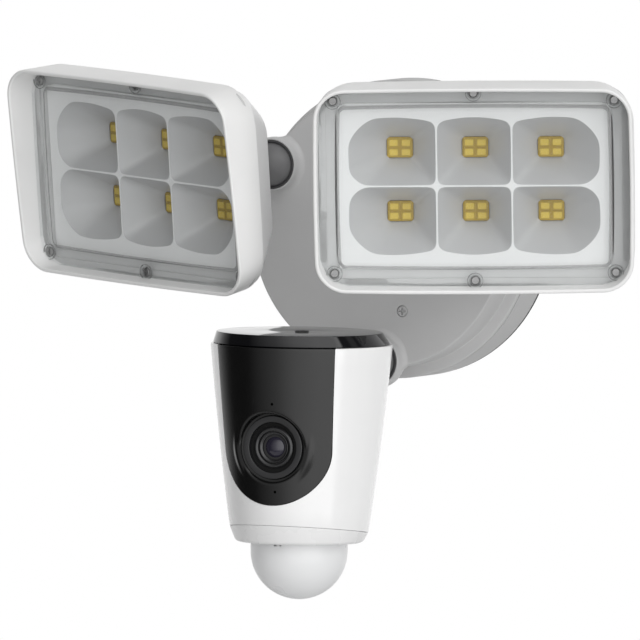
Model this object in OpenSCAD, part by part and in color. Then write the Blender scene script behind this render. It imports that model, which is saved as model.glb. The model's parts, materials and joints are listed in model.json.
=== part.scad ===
// Outdoor security camera with two floodlights on a round wall base.
// Each lamp head and the camera unit hang on a ball joint.
// Origin: centre of the wall plate's back face. +Z is up and the front is -Y.
// Base and lamps are drawn facing up (x right, y up, z out of the wall) and stood up.

/* [Base] */
// Radius of the round base
base_r = 75; // [74.5:0.1:76]
// Depth at which the base housing ends and the front cover begins
seam_depth = 26.4; // [26:0.1:26.8]
// Depth of the flat shoulder around the raised front
shoulder_depth = 28.3; // [28:0.1:29]
// Radius of the raised front of the cover
front_r = 69; // [68.5:0.1:69.5]
// Depth of the front face from the wall
front_depth = 47.5; // [47:0.1:47.8]
// Distance of each ball socket from the centre of the base
socket_circle_r = 65; // [64.5:0.1:66]
// Wall thickness of the plastic shells
wall_t = 2.4; // [2:0.1:2.6]

/* [Ball joints] */
// Radius of the three balls
ball_r = 11.5; // [11.4:0.05:11.6]
// Depth of the ball centres from the wall
ball_depth = 48.3; // [48:0.1:48.6]
// Height of a socket's lip above its ball centre
lip_height = 4.7; // [4.5:0.1:4.8]
// Radius of the neck between ball and head
neck_r = 8; // [7.5:0.1:8.2]

/* [Lamp heads] */
// Width of a lamp's hood
hood_w = 159.6; // [158:0.2:161]
// Height of a lamp's hood
hood_h = 105.4; // [104:0.2:107]
// Corner radius of the hood
hood_corner_r = 15; // [14:0.1:16]
// Distance from the ball centre to the front of the reflector
reflector_reach = 89.4; // [89:0.1:92]
// How far the hood stands out in front of the reflector
hood_front = 15; // [13:0.1:17]
// Slant of the hood's front, which reaches further out at the top, in degrees
hood_slant = 3.5; // [0:0.5:5]
// Height of the lamp's middle above the neck axis
head_rise = 8; // [7:0.1:9]
// Width of the reflector's face
reflector_w = 135.4; // [134:0.2:136]
// Height of the reflector's face
reflector_h = 82.6; // [82:0.2:84]
// Distance between the columns of light sources
led_pitch_x = 37.6; // [37:0.1:38]
// Distance between the two rows of light sources
led_pitch_y = 32.2; // [32:0.1:33]
// Depth of the light sources behind the reflector's face
cup_depth = 20.3; // [20:0.1:20.5]

/* [Camera unit] */
// Distance of the camera unit's axis from the wall
unit_depth = 146; // [145.8:0.1:146]
// Height of the shell's top edge above the origin
unit_top = -51.3; // [-51.5:0.1:-51]
// Height of the shell's bottom edge above the origin, on the unit's axis
unit_bottom = -144; // [-144.5:0.5:-143.5]
// How far the shell's bottom edge climbs towards the front, in degrees
seam_slant = 6; // [4:0.5:7]
// Radius of the shell at its top edge
unit_top_r = 45.4; // [45.2:0.1:45.5]
// Radius of the shell at its bottom edge
unit_bottom_r = 34.6; // [34.4:0.1:35]
// Height of the lens axis above the origin
lens_height = -101.4; // [-102:0.2:-101]
// Radius of the round recess that holds the lens
lens_recess_r = 17.2; // [17:0.1:18]
// Radius of the motion sensor's dome
dome_r = 24.2; // [23:0.1:24.5]

/* [Rest pose] */
// Left lamp turned sideways, in degrees, towards the left when negative
left_pan = -22.8; // [-26:0.2:-20]
// Left lamp tipped down, in degrees
left_tip = 7.6; // [4:0.2:9]
// Left lamp turned on its neck, in degrees
left_roll = 3.2; // [-4:0.2:4]
// Right lamp turned sideways, in degrees, towards the right when positive
right_pan = 21.6; // [20:0.2:26]
// Right lamp tipped down, in degrees
right_tip = 7.8; // [4:0.2:9]
// Right lamp turned on its neck, in degrees
right_roll = -0.4; // [-4:0.2:4]
// Camera unit turned sideways, in degrees, towards the right when positive
camera_pan = 0.9; // [0:0.1:3]
// Camera unit turned on its neck, in degrees, with its foot towards the left when positive
camera_roll = 0.8; // [0:0.1:2]

/* [Hidden] */
$fn = 96;
eps = 0.01;

// Base
socket_angles = [30, 150, 270];
socket_x = socket_circle_r * cos(30);
socket_z = socket_circle_r * sin(30);
plate_r = 54;
plate_t = 2;
plate_slot_pitch = 80;
plate_slot_l = 16;
plate_slot_r = 2.3;
gasket_t = 2;
recess_r = 57;
floor_depth = 5.6;
cover_screw_circle_r = 61.5;
cover_screw_angles = [90, 210, 330];
mount_screw_x = 13.2;
mount_screw_y = -40;
board_depth = 12;
board_t = 1.6;

// Ball joints
liner_gap = 0.05;
liner_r = ball_r + 0.75;
pocket_r = liner_r + 0.1;
liner_edge = -4;
ring_base = lip_height - 1.4;
boss_r = pocket_r + 1.5;
lead_r = 4;
lead_shift = 2;
thread_r = 6.95;
neck_bore_r = 7;
flange_r = 13;
seat_reach = 54;
flange_top = seat_reach - 0.3;

// Lamp heads
hood_wall = 2;
hood_back_z = reflector_reach - 4;
hood_front_z = reflector_reach + hood_front;
hood_margin = 5;
ledge_z = reflector_reach - 3;
ledge_t = 2;
lens_z = reflector_reach + 0.2;
lens_t = 2.6;
lens_boss_r = 4;
lens_boss_h = 0.8;
lens_screw_x = 70;
lens_screw_y = 43.6;
lens_mid_screw_y = 47.4;
LENS_SCREWS = [
    for (sy = [-1, 1]) for (sx = [-1, 0, 1])
        [sx * lens_screw_x, sy * (sx == 0 ? lens_mid_screw_y : lens_screw_y)]
];
led_z = reflector_reach - cup_depth;
LEDS = [for (sy = [-1, 1]) for (sx = [-1, 0, 1]) [sx * led_pitch_x, sy * led_pitch_y / 2]];
rib = 1.5;
mid_cup_w = 36;
side_cup_w = 43;
cup_h = 34;
sink_z = led_z - board_t - 3;

// Camera unit
unit_slope = (unit_top_r - unit_bottom_r) / (unit_top - unit_bottom);
shell_t = 2.2;
cap_h = 6.1;
cap_top = unit_top + cap_h;
cap_top_r = 41;
cap_bottom_r = unit_top_r - shell_t - 0.2;
skirt_r = cap_bottom_r - 0.7;
panel_arc_r = 29;
panel_top_half_w = 32;
lens_plane = 34.5;
mic_x = 2.3;
bottom_h = 6.2;
bottom_z = unit_bottom - bottom_h;
foot_r = 32.2;
foot_edge_r = 2.3;
dome_straight = 4.6;
pad_r = flange_r + 0.3;
button_r = 3.5;

// ---------- placing ----------

// Stands a face-up drawing on the wall: z out of the wall becomes -Y
module stood() {
    rotate([90, 0, 0]) children();
}

// Turns children with the left lamp's sideways swing only
module left_swung() {
    translate([-socket_x, -ball_depth, socket_z]) rotate([0, 0, left_pan]) stood() children();
}

// Turns children with the left ball, swung sideways and tipped
module left_tipped() {
    translate([-socket_x, -ball_depth, socket_z])
        rotate([0, 0, left_pan]) rotate([left_tip, 0, 0]) stood() children();
}

// Places children on the left lamp, whose neck axis is z
module on_left_lamp() {
    left_tipped() rotate([0, 0, -left_roll]) children();
}

// Turns children with the right lamp's sideways swing only
module right_swung() {
    translate([socket_x, -ball_depth, socket_z]) rotate([0, 0, right_pan]) stood() children();
}

// Turns children with the right ball, swung sideways and tipped
module right_tipped() {
    translate([socket_x, -ball_depth, socket_z])
        rotate([0, 0, right_pan]) rotate([right_tip, 0, 0]) stood() children();
}

// Places children on the right lamp, whose neck axis is z
module on_right_lamp() {
    right_tipped() rotate([0, 0, -right_roll]) children();
}

// Places children on the camera's neck, whose axis is z
module on_camera_neck() {
    translate([0, -ball_depth, -socket_circle_r]) rotate([0, 0, camera_pan]) stood() children();
}

// Places children on the camera unit's axis, with their heights above the origin
module on_camera() {
    translate([0, -ball_depth, -socket_circle_r]) rotate([0, 0, camera_pan]) rotate([0, camera_roll, 0])
        translate([0, ball_depth - unit_depth, socket_circle_r]) children();
}

// ---------- shared shapes ----------

// Rectangle with round corners, centred
module round_rect(w, h, r) {
    square([w - 2 * r, h], center = true);
    square([w, h - 2 * r], center = true);
    for (sx = [-1, 1]) for (sy = [-1, 1])
        translate([sx * (w / 2 - r), sy * (h / 2 - r)]) circle(r);
}

// Upright plate with round corners from z0 to z1
module slab(w, h, r, z0, z1) {
    translate([0, 0, z0]) linear_extrude(z1 - z0) round_rect(w, h, r);
}

// Flat ring from z0 to z1
module ring(outer, inner, z0, z1) {
    translate([0, 0, z0]) difference() {
        cylinder(r = outer, h = z1 - z0);
        translate([0, 0, -1]) cylinder(r = inner, h = z1 - z0 + 2);
    }
}

// Rod from z0 to z1
module rod(r, z0, z1) {
    translate([0, 0, z0]) cylinder(r = r, h = z1 - z0);
}

// Cross-head screw with its seat at z = 0 and its shank towards -z
module cross_screw(head_r, head_h, shank_r, length) {
    slot_w = head_r * 0.3;
    slot_l = head_r * 1.2;
    difference() {
        union() {
            cylinder(r = head_r, h = head_h);
            translate([0, 0, -length]) cylinder(r = shank_r, h = length + eps);
        }
        for (a = [0, 90]) rotate([0, 0, a])
            translate([-slot_l / 2, -slot_w / 2, head_h * 0.4]) cube([slot_l, slot_w, head_h]);
    }
}

// Radius of the camera unit's outside at a height
function unit_r(h) = unit_bottom_r + unit_slope * (h - unit_bottom);

// Solid cone with the camera unit's taper, made smaller by inset
module unit_cone(inset, low, high) {
    translate([0, 0, low]) cylinder(r1 = unit_r(low) - inset, r2 = unit_r(high) - inset, h = high - low);
}

// ---------- base ----------

// Steel plate that is screwed to the junction box first
module wall_plate() {
    color("silver") stood() difference() {
        union() {
            rod(plate_r, 0, plate_t);
            for (s = [-1, 1]) translate([s * mount_screw_x, s * mount_screw_y, 0]) rod(4, 0, 5);
        }
        translate([0, 0, -1]) rod(16, 0, 9);
        for (s = [-1, 1]) {
            translate([s * mount_screw_x, s * mount_screw_y, -1]) rod(2.1, 0, 9);
            translate([s * plate_slot_pitch / 2, 0, -1]) linear_extrude(9) {
                square([plate_slot_l - 2 * plate_slot_r, 2 * plate_slot_r], center = true);
                for (e = [-1, 1]) translate([e * (plate_slot_l / 2 - plate_slot_r), 0]) circle(plate_slot_r);
            }
        }
        translate([-26, 22, -1]) rod(1.9, 0, 9);
    }
}

// Earth screw on the wall plate
module earth_screw() {
    color("seagreen") stood() translate([-26, 22, plate_t]) cross_screw(3.2, 1.8, 1.8, plate_t - 0.2);
}

// Foam ring that seals the base to the wall
module wall_gasket() {
    color("dimgray") stood() ring(base_r - 0.1, 66.5, 0, gasket_t);
}

// Round housing with a recess in its back for the wall plate
module base_housing() {
    color("gray") stood() difference() {
        union() {
            rod(base_r, gasket_t, seam_depth - 1);
            rod(recess_r, gasket_t, floor_depth);
        }
        difference() {
            rod(base_r - wall_t, gasket_t + wall_t, seam_depth + 1);
            rod(recess_r + wall_t, gasket_t, floor_depth + wall_t);
            for (a = cover_screw_angles) rotate([0, 0, a])
                translate([cover_screw_circle_r, 0, 0]) rod(5, gasket_t, floor_depth + wall_t);
            for (sx = [-1, 1]) for (y = [-9, 31]) translate([sx * 37, y, 0]) rod(3, gasket_t, board_depth);
        }
        rod(recess_r, gasket_t - 1, floor_depth);
        rod(11, 0, 12);
        for (s = [-1, 1]) translate([s * mount_screw_x, s * mount_screw_y, 0]) rod(2.3, 0, 12);
        for (a = cover_screw_angles) rotate([0, 0, a]) translate([cover_screw_circle_r, 0, 0]) {
            rod(1.7, 0, 12);
            rod(3.3, 0, 4.2);
        }
    }
}

// Rubber grommet that the mains lead comes through
module cable_grommet() {
    color("black") stood() difference() {
        union() {
            rod(10.9, floor_depth - 1.4, floor_depth + wall_t + 1.4);
            rod(13, floor_depth - 1.5, floor_depth - 0.1);
            rod(13, floor_depth + wall_t + 0.1, floor_depth + wall_t + 1.5);
        }
        rod(4.5, 0, 14);
    }
}

// Outline of the front cover in its radius and depth, made smaller by inset
function cover_outline(inset) = concat(
    [[0, seam_depth], [base_r - inset, seam_depth]],
    [for (a = [0:30:90]) [base_r - 1.6 + (1.6 - inset) * cos(a), shoulder_depth - 1.6 + (1.6 - inset) * sin(a)]],
    [[front_r - inset, shoulder_depth - inset]],
    [for (a = [0:15:90]) [front_r - 3 + (3 - inset) * cos(a), front_depth - 3 + (3 - inset) * sin(a)]],
    [[0, front_depth - inset]]
);

// Bowl around one ball, with its lip
module socket_boss() {
    difference() {
        sphere(boss_r);
        rod(boss_r + 1, lip_height, boss_r + 1);
    }
}

// Front cover with the three ball sockets
module front_cover() {
    color("darkgray") stood() difference() {
        union() {
            difference() {
                rotate_extrude() polygon(cover_outline(0));
                translate([0, 0, -eps]) rotate_extrude() polygon(cover_outline(wall_t));
            }
            for (a = socket_angles) rotate([0, 0, a]) translate([socket_circle_r, 0, ball_depth]) socket_boss();
            for (a = cover_screw_angles) rotate([0, 0, a])
                translate([cover_screw_circle_r, 0, 0]) rod(3.6, floor_depth + wall_t + 0.2, front_depth - 1);
            for (s = [-1, 1]) translate([s * mount_screw_x, s * mount_screw_y, 0])
                rod(5, floor_depth + wall_t + 0.2, front_depth - 1);
        }
        for (a = socket_angles) rotate([0, 0, a]) translate([socket_circle_r, 0, ball_depth]) {
            sphere(pocket_r);
            rod(pocket_r, 0, lip_height + 1);
            translate([-lead_shift, 0, 0]) rod(lead_r - 1, -20, 0);
        }
        for (a = cover_screw_angles) rotate([0, 0, a])
            translate([cover_screw_circle_r, 0, 0]) rod(1.4, 7, 24);
        for (s = [-1, 1]) translate([s * mount_screw_x, s * mount_screw_y, 0]) {
            rod(2.3, 0, front_depth + 1);
            rod(3.2, front_depth - 2.4, front_depth + 1);
        }
    }
}

// Seal in the seam between housing and cover
module cover_gasket() {
    color("dimgray") stood() ring(base_r - 0.5, base_r - wall_t + 0.2, seam_depth - 1, seam_depth);
}

// Three screws that hold the cover, driven from the back
module cover_screws() {
    color("silver") stood() for (a = cover_screw_angles) rotate([0, 0, a])
        translate([cover_screw_circle_r, 0, 4.2]) mirror([0, 0, 1]) cross_screw(3, 1.8, 1.3, 17);
}

// Two long screws that hold the lamp unit to the wall plate
module mounting_screws() {
    color("gray") stood() for (s = [-1, 1])
        translate([s * mount_screw_x, s * mount_screw_y, front_depth - 2.4])
            cross_screw(3, 1.9, 2, front_depth - 4);
}

// Dark rings that keep the three balls in their sockets
module socket_rings() {
    color("dimgray") stood() for (a = socket_angles)
        rotate([0, 0, a]) translate([socket_circle_r, 0, ball_depth]) difference() {
            rod(pocket_r - 0.02, ring_base, lip_height);
            sphere(ball_r + liner_gap * 2);
        }
}

// Screw terminals for the mains lead
module terminal_block() {
    color("ivory") stood() difference() {
        translate([-4, -12, board_depth + board_t]) cube([26, 10, 12]);
        for (x = [1, 9, 17]) {
            translate([x, -7, board_depth + board_t + 5]) rod(2, 0, 9);
            translate([x - 2, -13, board_depth + board_t + 2]) cube([4, 8, 4]);
        }
    }
}

// Power supply board
module driver_board() {
    color("darkgreen") stood() difference() {
        translate([0, 11, board_depth]) linear_extrude(board_t) square([84, 50], center = true);
        for (sx = [-1, 1]) for (y = [-9, 31]) translate([sx * 37, y, 0]) rod(1.6, 0, 20);
    }
}

// Transformer of the power supply
module driver_transformer() {
    color("goldenrod") stood() {
        translate([-33, 3, board_depth + board_t]) cube([26, 22, 6]);
        translate([-30, 6, board_depth + board_t + 6]) cube([20, 16, 8]);
        translate([-33, 3, board_depth + board_t + 14]) cube([26, 22, 5]);
    }
}

// Smoothing capacitors
module driver_capacitors() {
    color("midnightblue") stood() for (p = [[6, 26, 5], [20, 24, 6.5], [33, 10, 5]])
        translate([p[0], p[1], 0]) rod(p[2], board_depth + board_t, board_depth + board_t + 22);
}

// ---------- ball joints ----------

// Cup-shaped nylon liner behind a ball
module ball_liner() {
    color("white") difference() {
        sphere(liner_r);
        sphere(ball_r + liner_gap);
        rod(liner_r + 1, liner_edge, liner_r + 1);
        rod(lead_r + 1, -liner_r - 1, 0);
    }
}

// Ball and hollow neck, with the flange and thread that carry a head
module ball_stud() {
    color("dimgray") difference() {
        union() {
            sphere(ball_r);
            rotate_extrude() polygon([
                [0, 0], [5.8, 0], [5.8, 10.6], [neck_r, 17], [neck_r, 42], [flange_r, 48],
                [flange_r, flange_top], [thread_r, flange_top], [thread_r, 63], [0, 63]
            ]);
        }
        rod(lead_r, -20, 70);
        ring(11, 8.6, flange_top - 1.1, flange_top + 1);
    }
}

// Rubber ring in the groove of the neck's flange
module neck_seal() {
    color("black") ring(10.9, 8.7, flange_top - 1.1, flange_top + 0.15);
}

// Nut that holds a head on its neck
module neck_nut() {
    color("silver") difference() {
        translate([0, 0, seat_reach + 2.9]) cylinder(r = 10, h = 4.6, $fn = 6);
        rod(neck_bore_r, 50, 70);
    }
}

// ---------- lamp heads ----------

// Thin rounded sheet that the housing's hulls are built from
module sheet(w, h, r, z) {
    translate([0, 0, z]) linear_extrude(0.2, $fn = 32) round_rect(w, h, r);
}

// Pan-shaped rear housing with screw bosses and the neck's hole
module rear_housing() {
    back_h = 2.6;
    color("white") difference() {
        translate([0, head_rise, 0]) {
            difference() {
                union() {
                    hull() {
                        sheet(153.6, 99.4, 11, ledge_z - 2.6);
                        sheet(120, 72, 14, seat_reach + 6);
                        sheet(100, 54, 12, seat_reach);
                    }
                    slab(hood_w - 2 * hood_wall - 0.4, hood_h - 2 * hood_wall - 0.4, hood_corner_r - hood_wall - 0.2,
                        ledge_z - 2.4, ledge_z);
                }
                hull() {
                    sheet(148, 94, 9, ledge_z + 1);
                    sheet(147, 93, 9, ledge_z - 2.6);
                    sheet(115, 67, 12, seat_reach + 7.2);
                    sheet(96, 50, 10, seat_reach + back_h);
                }
            }
            for (p = LENS_SCREWS) translate([p[0], p[1], 0]) rod(3, ledge_z - 6, ledge_z);
            for (sx = [-1, 1]) for (sy = [-1, 1]) translate([sx * 50, sy * 24, 0]) rod(3, seat_reach + 5, sink_z);
        }
        rod(neck_bore_r, seat_reach - 1, seat_reach + 5);
        for (p = LENS_SCREWS) translate([p[0], p[1] + head_rise, 0]) rod(1.5, ledge_z - 7, ledge_z + 1);
    }
}

// Hood around the lens, with the ledge that the lens is screwed through
module hood() {
    color("white") translate([0, head_rise, 0]) difference() {
        slab(hood_w, hood_h, hood_corner_r, hood_back_z, hood_front_z + hood_margin);
        slab(hood_w - 2 * hood_wall, hood_h - 2 * hood_wall, hood_corner_r - hood_wall,
            hood_back_z - 1, ledge_z);
        slab(hood_w - 2 * hood_wall, hood_h - 2 * hood_wall, hood_corner_r - hood_wall,
            ledge_z + ledge_t, hood_front_z + hood_margin + 1);
        translate([0, 0, hood_front_z]) rotate([hood_slant, 0, 0]) slab(hood_w + 20, hood_h + 20, 5, 0, 20);
        slab(137, 84, 6, ledge_z - 1, ledge_z + ledge_t + 1);
        for (p = LENS_SCREWS) translate([p[0], p[1], 0]) rod(1.6, ledge_z - 1, ledge_z + ledge_t + 1);
    }
}

// Seal between the hood's ledge and the lens
module lens_gasket() {
    color("gainsboro") translate([0, head_rise, 0]) difference() {
        slab(154.6, 100.4, 12.5, ledge_z + ledge_t, lens_z);
        slab(147.4, 93.2, 8, ledge_z, lens_z + 1);
        for (p = LENS_SCREWS) translate([p[0], p[1], 0]) rod(1.8, ledge_z, lens_z + 1);
    }
}

// Clear front window with a raised ring around each screw
module lens() {
    color("lightcyan", 0.4) translate([0, head_rise, 0]) difference() {
        union() {
            slab(155, 100.8, 12.7, lens_z, lens_z + lens_t);
            for (p = LENS_SCREWS) translate([p[0], p[1], 0]) rod(lens_boss_r - 1, lens_z + 1, lens_z + lens_t + lens_boss_h);
        }
        for (p = LENS_SCREWS) translate([p[0], p[1], 0]) rod(1.6, lens_z - 1, lens_z + lens_t + 2);
    }
}

// Six screws through the lens into the rear housing
module lens_screws() {
    color("silver") translate([0, head_rise, 0]) for (p = LENS_SCREWS)
        translate([p[0], p[1], lens_z + lens_t + lens_boss_h]) cross_screw(2.2, 1.2, 1.3, 11);
}

// Mouth or foot of one reflector cup, grown by grow
module cup_sheet(w, h, r, z, grow) {
    translate([0, 0, z]) linear_extrude(0.1, $fn = 24) round_rect(w + 2 * grow, h + 2 * grow, r);
}

// One tapered cup, from its mouth at the face to its foot at a light source
module cup(sx, sy, grow, over) {
    w = sx == 0 ? mid_cup_w : side_cup_w;
    x = sx * (mid_cup_w / 2 + rib + side_cup_w / 2);
    hull() {
        translate([x, sy * (cup_h + rib) / 2, 0])
            cup_sheet(w - 1.5 * grow, cup_h - 1.5 * grow, 8, reflector_reach - 0.1 + over, grow);
        translate([sx * led_pitch_x, sy * led_pitch_y / 2, 0])
            cup_sheet(14, 12, 2, led_z + 0.8 - over, grow);
    }
}

// White reflector with six cups
module reflector() {
    color("whitesmoke") translate([0, head_rise, 0]) difference() {
        union() {
            slab(reflector_w, reflector_h, 4.5, reflector_reach - 1.8, reflector_reach);
            for (sx = [-1, 0, 1]) for (sy = [-1, 1]) cup(sx, sy, 0.7, -0.1);
        }
        for (sx = [-1, 0, 1]) for (sy = [-1, 1]) cup(sx, sy, 0, 0.2);
    }
}

// Board that carries the light sources
module led_board() {
    color("white") translate([0, head_rise, 0]) difference() {
        slab(118, 66, 3, led_z - board_t, led_z);
        for (sx = [-1, 1]) for (sy = [-1, 1]) translate([sx * 50, sy * 24, 0]) rod(1.6, led_z - 3, led_z + 1);
    }
}

// Six light sources, each with four chips on a base
module led_modules() {
    color("gold") translate([0, head_rise, 0]) for (p = LEDS) translate([p[0], p[1], led_z]) {
        translate([-5.7, -4.75, 0]) cube([11.4, 9.5, 0.5]);
        for (cx = [-1, 1]) for (cy = [-1, 1])
            translate([cx * 2.6 - 1.9, cy * 2.2 - 1.6, 0.5 - eps]) cube([3.8, 3.2, 0.4]);
    }
}

// Finned heat sink behind the board
module heat_sink() {
    color("lightgray") translate([0, head_rise, 0]) difference() {
        union() {
            slab(112, 62, 3, sink_z, sink_z + 3);
            for (sx = [-1, 1]) for (x = [20:5:45])
                translate([sx * x - 0.8, -21, seat_reach + 4.6]) cube([1.6, 42, sink_z - seat_reach - 4.5]);
        }
        translate([0, -head_rise, 0]) rod(lead_r + 1, sink_z - 1, sink_z + 4);
        for (sx = [-1, 1]) for (sy = [-1, 1]) translate([sx * 50, sy * 24, 0]) rod(1.6, sink_z - 1, sink_z + 4);
    }
}

// ---------- camera unit ----------

// Front outline of the black panel, made smaller by inset
module panel_outline(inset) {
    translate([0, lens_height]) circle(panel_arc_r - inset);
    polygon([
        [-panel_arc_r + inset, lens_height], [panel_arc_r - inset, lens_height],
        [panel_top_half_w - inset, unit_top + 1], [-panel_top_half_w + inset, unit_top + 1]
    ]);
}

// The panel's outline pushed straight through the front half of the unit
module panel_block(inset) {
    rotate([90, 0, 0]) linear_extrude(unit_top_r + 5) panel_outline(inset);
}

// Everything under the shell's slanted bottom edge, lowered by gap
module under_seam(gap) {
    block = 200;
    translate([0, 0, unit_bottom - gap]) rotate([-seam_slant, 0, 0])
        translate([-block / 2, -block / 2, -block]) cube(block);
}

// Tapered white shell, cut out for the front panel
module camera_shell() {
    pad_y = unit_depth - ball_depth - seat_reach;
    color("white") on_camera() difference() {
        union() {
            difference() {
                unit_cone(0, bottom_z, unit_top);
                unit_cone(shell_t, bottom_z - 1, unit_top + 1);
                under_seam(0);
            }
            translate([0, pad_y, -socket_circle_r]) rotate([90, 0, 0]) rod(pad_r, 0, 6);
        }
        translate([-pad_r, pad_y, -socket_circle_r]) cube([2 * pad_r, 9, 20]);
        translate([0, pad_y, -socket_circle_r]) rotate([-90, 0, 0]) rod(pad_r, 0, 9);
        translate([0, pad_y - 2.4, -socket_circle_r]) rotate([90, 0, 0]) rod(pad_r - 2.2, 0, 12);
        translate([0, pad_y, -socket_circle_r]) rotate([90, 0, 0]) rod(neck_bore_r, -1, 6);
        panel_block(0);
        for (s = [-1, 1]) translate([s * 12, 0, -130]) rotate([-90, 0, 0]) rod(0.9, 20, 60);
    }
}

// Glossy black cap with the button's hole in its middle
module camera_cap() {
    color("black") on_camera() difference() {
        union() {
            translate([0, 0, unit_top]) cylinder(r1 = cap_bottom_r, r2 = cap_top_r, h = cap_h);
            rod(skirt_r, unit_top - 3, unit_top + eps);
        }
        rod(skirt_r - 2, unit_top - 4, cap_top - 2);
        rod(button_r + 0.15, unit_top, cap_top + 1);
        translate([0, 22, -socket_circle_r]) rotate([-90, 0, 0]) rod(pad_r + 0.2, 0, 30);
    }
}

// Black front panel with the round recess for the lens
module camera_front_panel() {
    color("dimgray") on_camera() difference() {
        union() {
            intersection() {
                difference() {
                    unit_cone(0.05, unit_bottom, unit_top - 0.1);
                    unit_cone(shell_t, unit_bottom - 1, unit_top + 1);
                }
                panel_block(0.15);
            }
            intersection() {
                unit_cone(0.05, unit_bottom, unit_top - 0.1);
                translate([0, 0, lens_height]) rotate([90, 0, 0])
                    ring(lens_recess_r + 1.2, lens_recess_r, lens_plane - 1.2, unit_top_r);
            }
            translate([0, 0, lens_height]) rotate([90, 0, 0])
                ring(lens_recess_r + 1.2, 14.4, lens_plane - 1.2, lens_plane);
        }
        translate([0, 0, lens_height]) rotate([90, 0, 0]) {
            rod(lens_recess_r, lens_plane, unit_top_r);
            rod(14.4, lens_plane - 4, unit_top_r);
        }
        for (h = [22, -22]) translate([mic_x, 0, lens_height + h]) rotate([90, 0, 0]) rod(0.6, 20, unit_top_r);
    }
}

// Shape that narrows from the slanted seam to the rounded foot, set in by inset and open by above
module seam_to_foot(inset, above) {
    hull() {
        intersection() {
            unit_cone(inset, bottom_z, unit_bottom + 2 * bottom_h);
            difference() {
                under_seam(0.05 - above);
                under_seam(0.15 - above);
            }
        }
        rotate_extrude() polygon(concat(
            [[0, bottom_z + inset + 1], [0, bottom_z + inset]],
            [for (a = [-90:15:0]) [
                foot_r - inset - foot_edge_r + foot_edge_r * cos(a),
                bottom_z + inset + foot_edge_r + foot_edge_r * sin(a)
            ]]
        ));
    }
}

// White bottom cover under the slanted seam, with the speaker's holes
module camera_bottom_cover() {
    color("white") on_camera() difference() {
        seam_to_foot(0, 0);
        seam_to_foot(shell_t, 1);
        rod(dome_r + 0.2, bottom_z - 1, bottom_z + 3);
        for (a = [60:12:120]) rotate([0, 0, a]) translate([dome_r + 3.4, 0, 0]) rod(0.8, bottom_z - 1, bottom_z + 3);
        for (a = [30, 150, 270]) rotate([0, 0, a]) translate([dome_r + 3.4, 0, 0]) rod(1.2, bottom_z - 1, bottom_z + 3);
    }
}

// Three screws in the bottom cover
module camera_screws() {
    color("silver") on_camera() for (a = [30, 150, 270]) rotate([0, 0, a])
        translate([dome_r + 3.4, 0, bottom_z]) mirror([0, 0, 1]) cross_screw(1.9, 0.8, 1.1, 9);
}

// Reset button that stands in the cap
module reset_button() {
    color("dimgray") on_camera() {
        rod(button_r, cap_top - 3.4, cap_top + 0.3);
        rod(button_r + 1, cap_top - 4.2, cap_top - 3.3);
    }
}

// Milky dome over the motion sensors
module pir_dome() {
    color("ghostwhite") on_camera() difference() {
        union() {
            translate([0, 0, bottom_z - dome_straight]) sphere(dome_r);
            rod(dome_r, bottom_z - dome_straight, bottom_z + 2.4);
            rod(dome_r + 1.8, bottom_z + 2.3, bottom_z + 3.7);
        }
        translate([0, 0, bottom_z - dome_straight]) sphere(dome_r - 1.5);
        rod(dome_r - 1.5, bottom_z - dome_straight, bottom_z + 9);
        rod(dome_r + 3, bottom_z + 3.7, bottom_z + 30);
    }
}

// Board above the dome
module pir_board() {
    color("darkgreen") on_camera() rod(dome_r + 1.8, bottom_z + 3.8, bottom_z + 5);
}

// Three motion sensors under their board
module pir_sensors() {
    color("silver") on_camera() for (a = [30, 150, 270]) rotate([0, 0, a])
        translate([12, 0, 0]) rod(4.1, bottom_z - 0.6, bottom_z + 3.8);
}

// Stepped ring around the lens
module lens_ring() {
    color("dimgray") on_camera() translate([0, 0, lens_height]) rotate([90, 0, 0])
        rotate_extrude() polygon([
            [14.2, lens_plane - 3], [14.2, lens_plane + 1.2], [12.6, lens_plane + 1.2],
            [11.6, lens_plane + 0.4], [8.4, lens_plane - 1.4], [6.7, lens_plane - 1.8],
            [6.7, lens_plane - 3]
        ]);
}

// Lens tube behind the ring
module lens_barrel() {
    color("black") on_camera() translate([0, 0, lens_height]) rotate([90, 0, 0]) difference() {
        union() {
            rod(9, lens_plane - 14, lens_plane - 3.1);
            rod(6.6, lens_plane - 3.2, lens_plane - 2.4);
        }
        rod(5, lens_plane - 20, lens_plane);
    }
}

// Front lens element
module lens_glass() {
    color("midnightblue") on_camera() translate([0, 0, lens_height]) rotate([90, 0, 0]) intersection() {
        rod(6.5, lens_plane - 2.3, lens_plane);
        translate([0, 0, lens_plane - 11.6]) sphere(11);
    }
}

// Board with the image sensor
module image_board() {
    color("darkgreen") on_camera() translate([0, 0, lens_height]) rotate([90, 0, 0]) {
        slab(30, 30, 2, lens_plane - 15.8, lens_plane - 14.4);
        translate([-3.3, -2.7, lens_plane - 14.5]) cube([6.6, 5.4, 0.9]);
    }
}

// Main board
module main_board() {
    color("darkgreen") on_camera() translate([0, 0, lens_height]) rotate([90, 0, 0]) {
        slab(52, 66, 2, 0, 1.6);
        translate([-9, 2, 1.6 - eps]) cube([18, 18, 2]);
        translate([-20, -24, 1.6 - eps]) cube([14, 10, 1.6]);
        translate([6, -26, 1.6 - eps]) cube([14, 12, 3]);
    }
}

// Loudspeaker behind the board
module speaker() {
    color("gray") on_camera() translate([0, 8, -130]) rotate([-90, 0, 0]) {
        rod(13, 0, 5);
        rod(8, 5 - eps, 11);
    }
}

// Two flat aerials on the shell's inside
module antennas() {
    color("goldenrod") on_camera() for (s = [-1, 1])
        translate([s * 34 - 0.4, -8, -88]) cube([0.8, 9, 30]);
}

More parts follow.
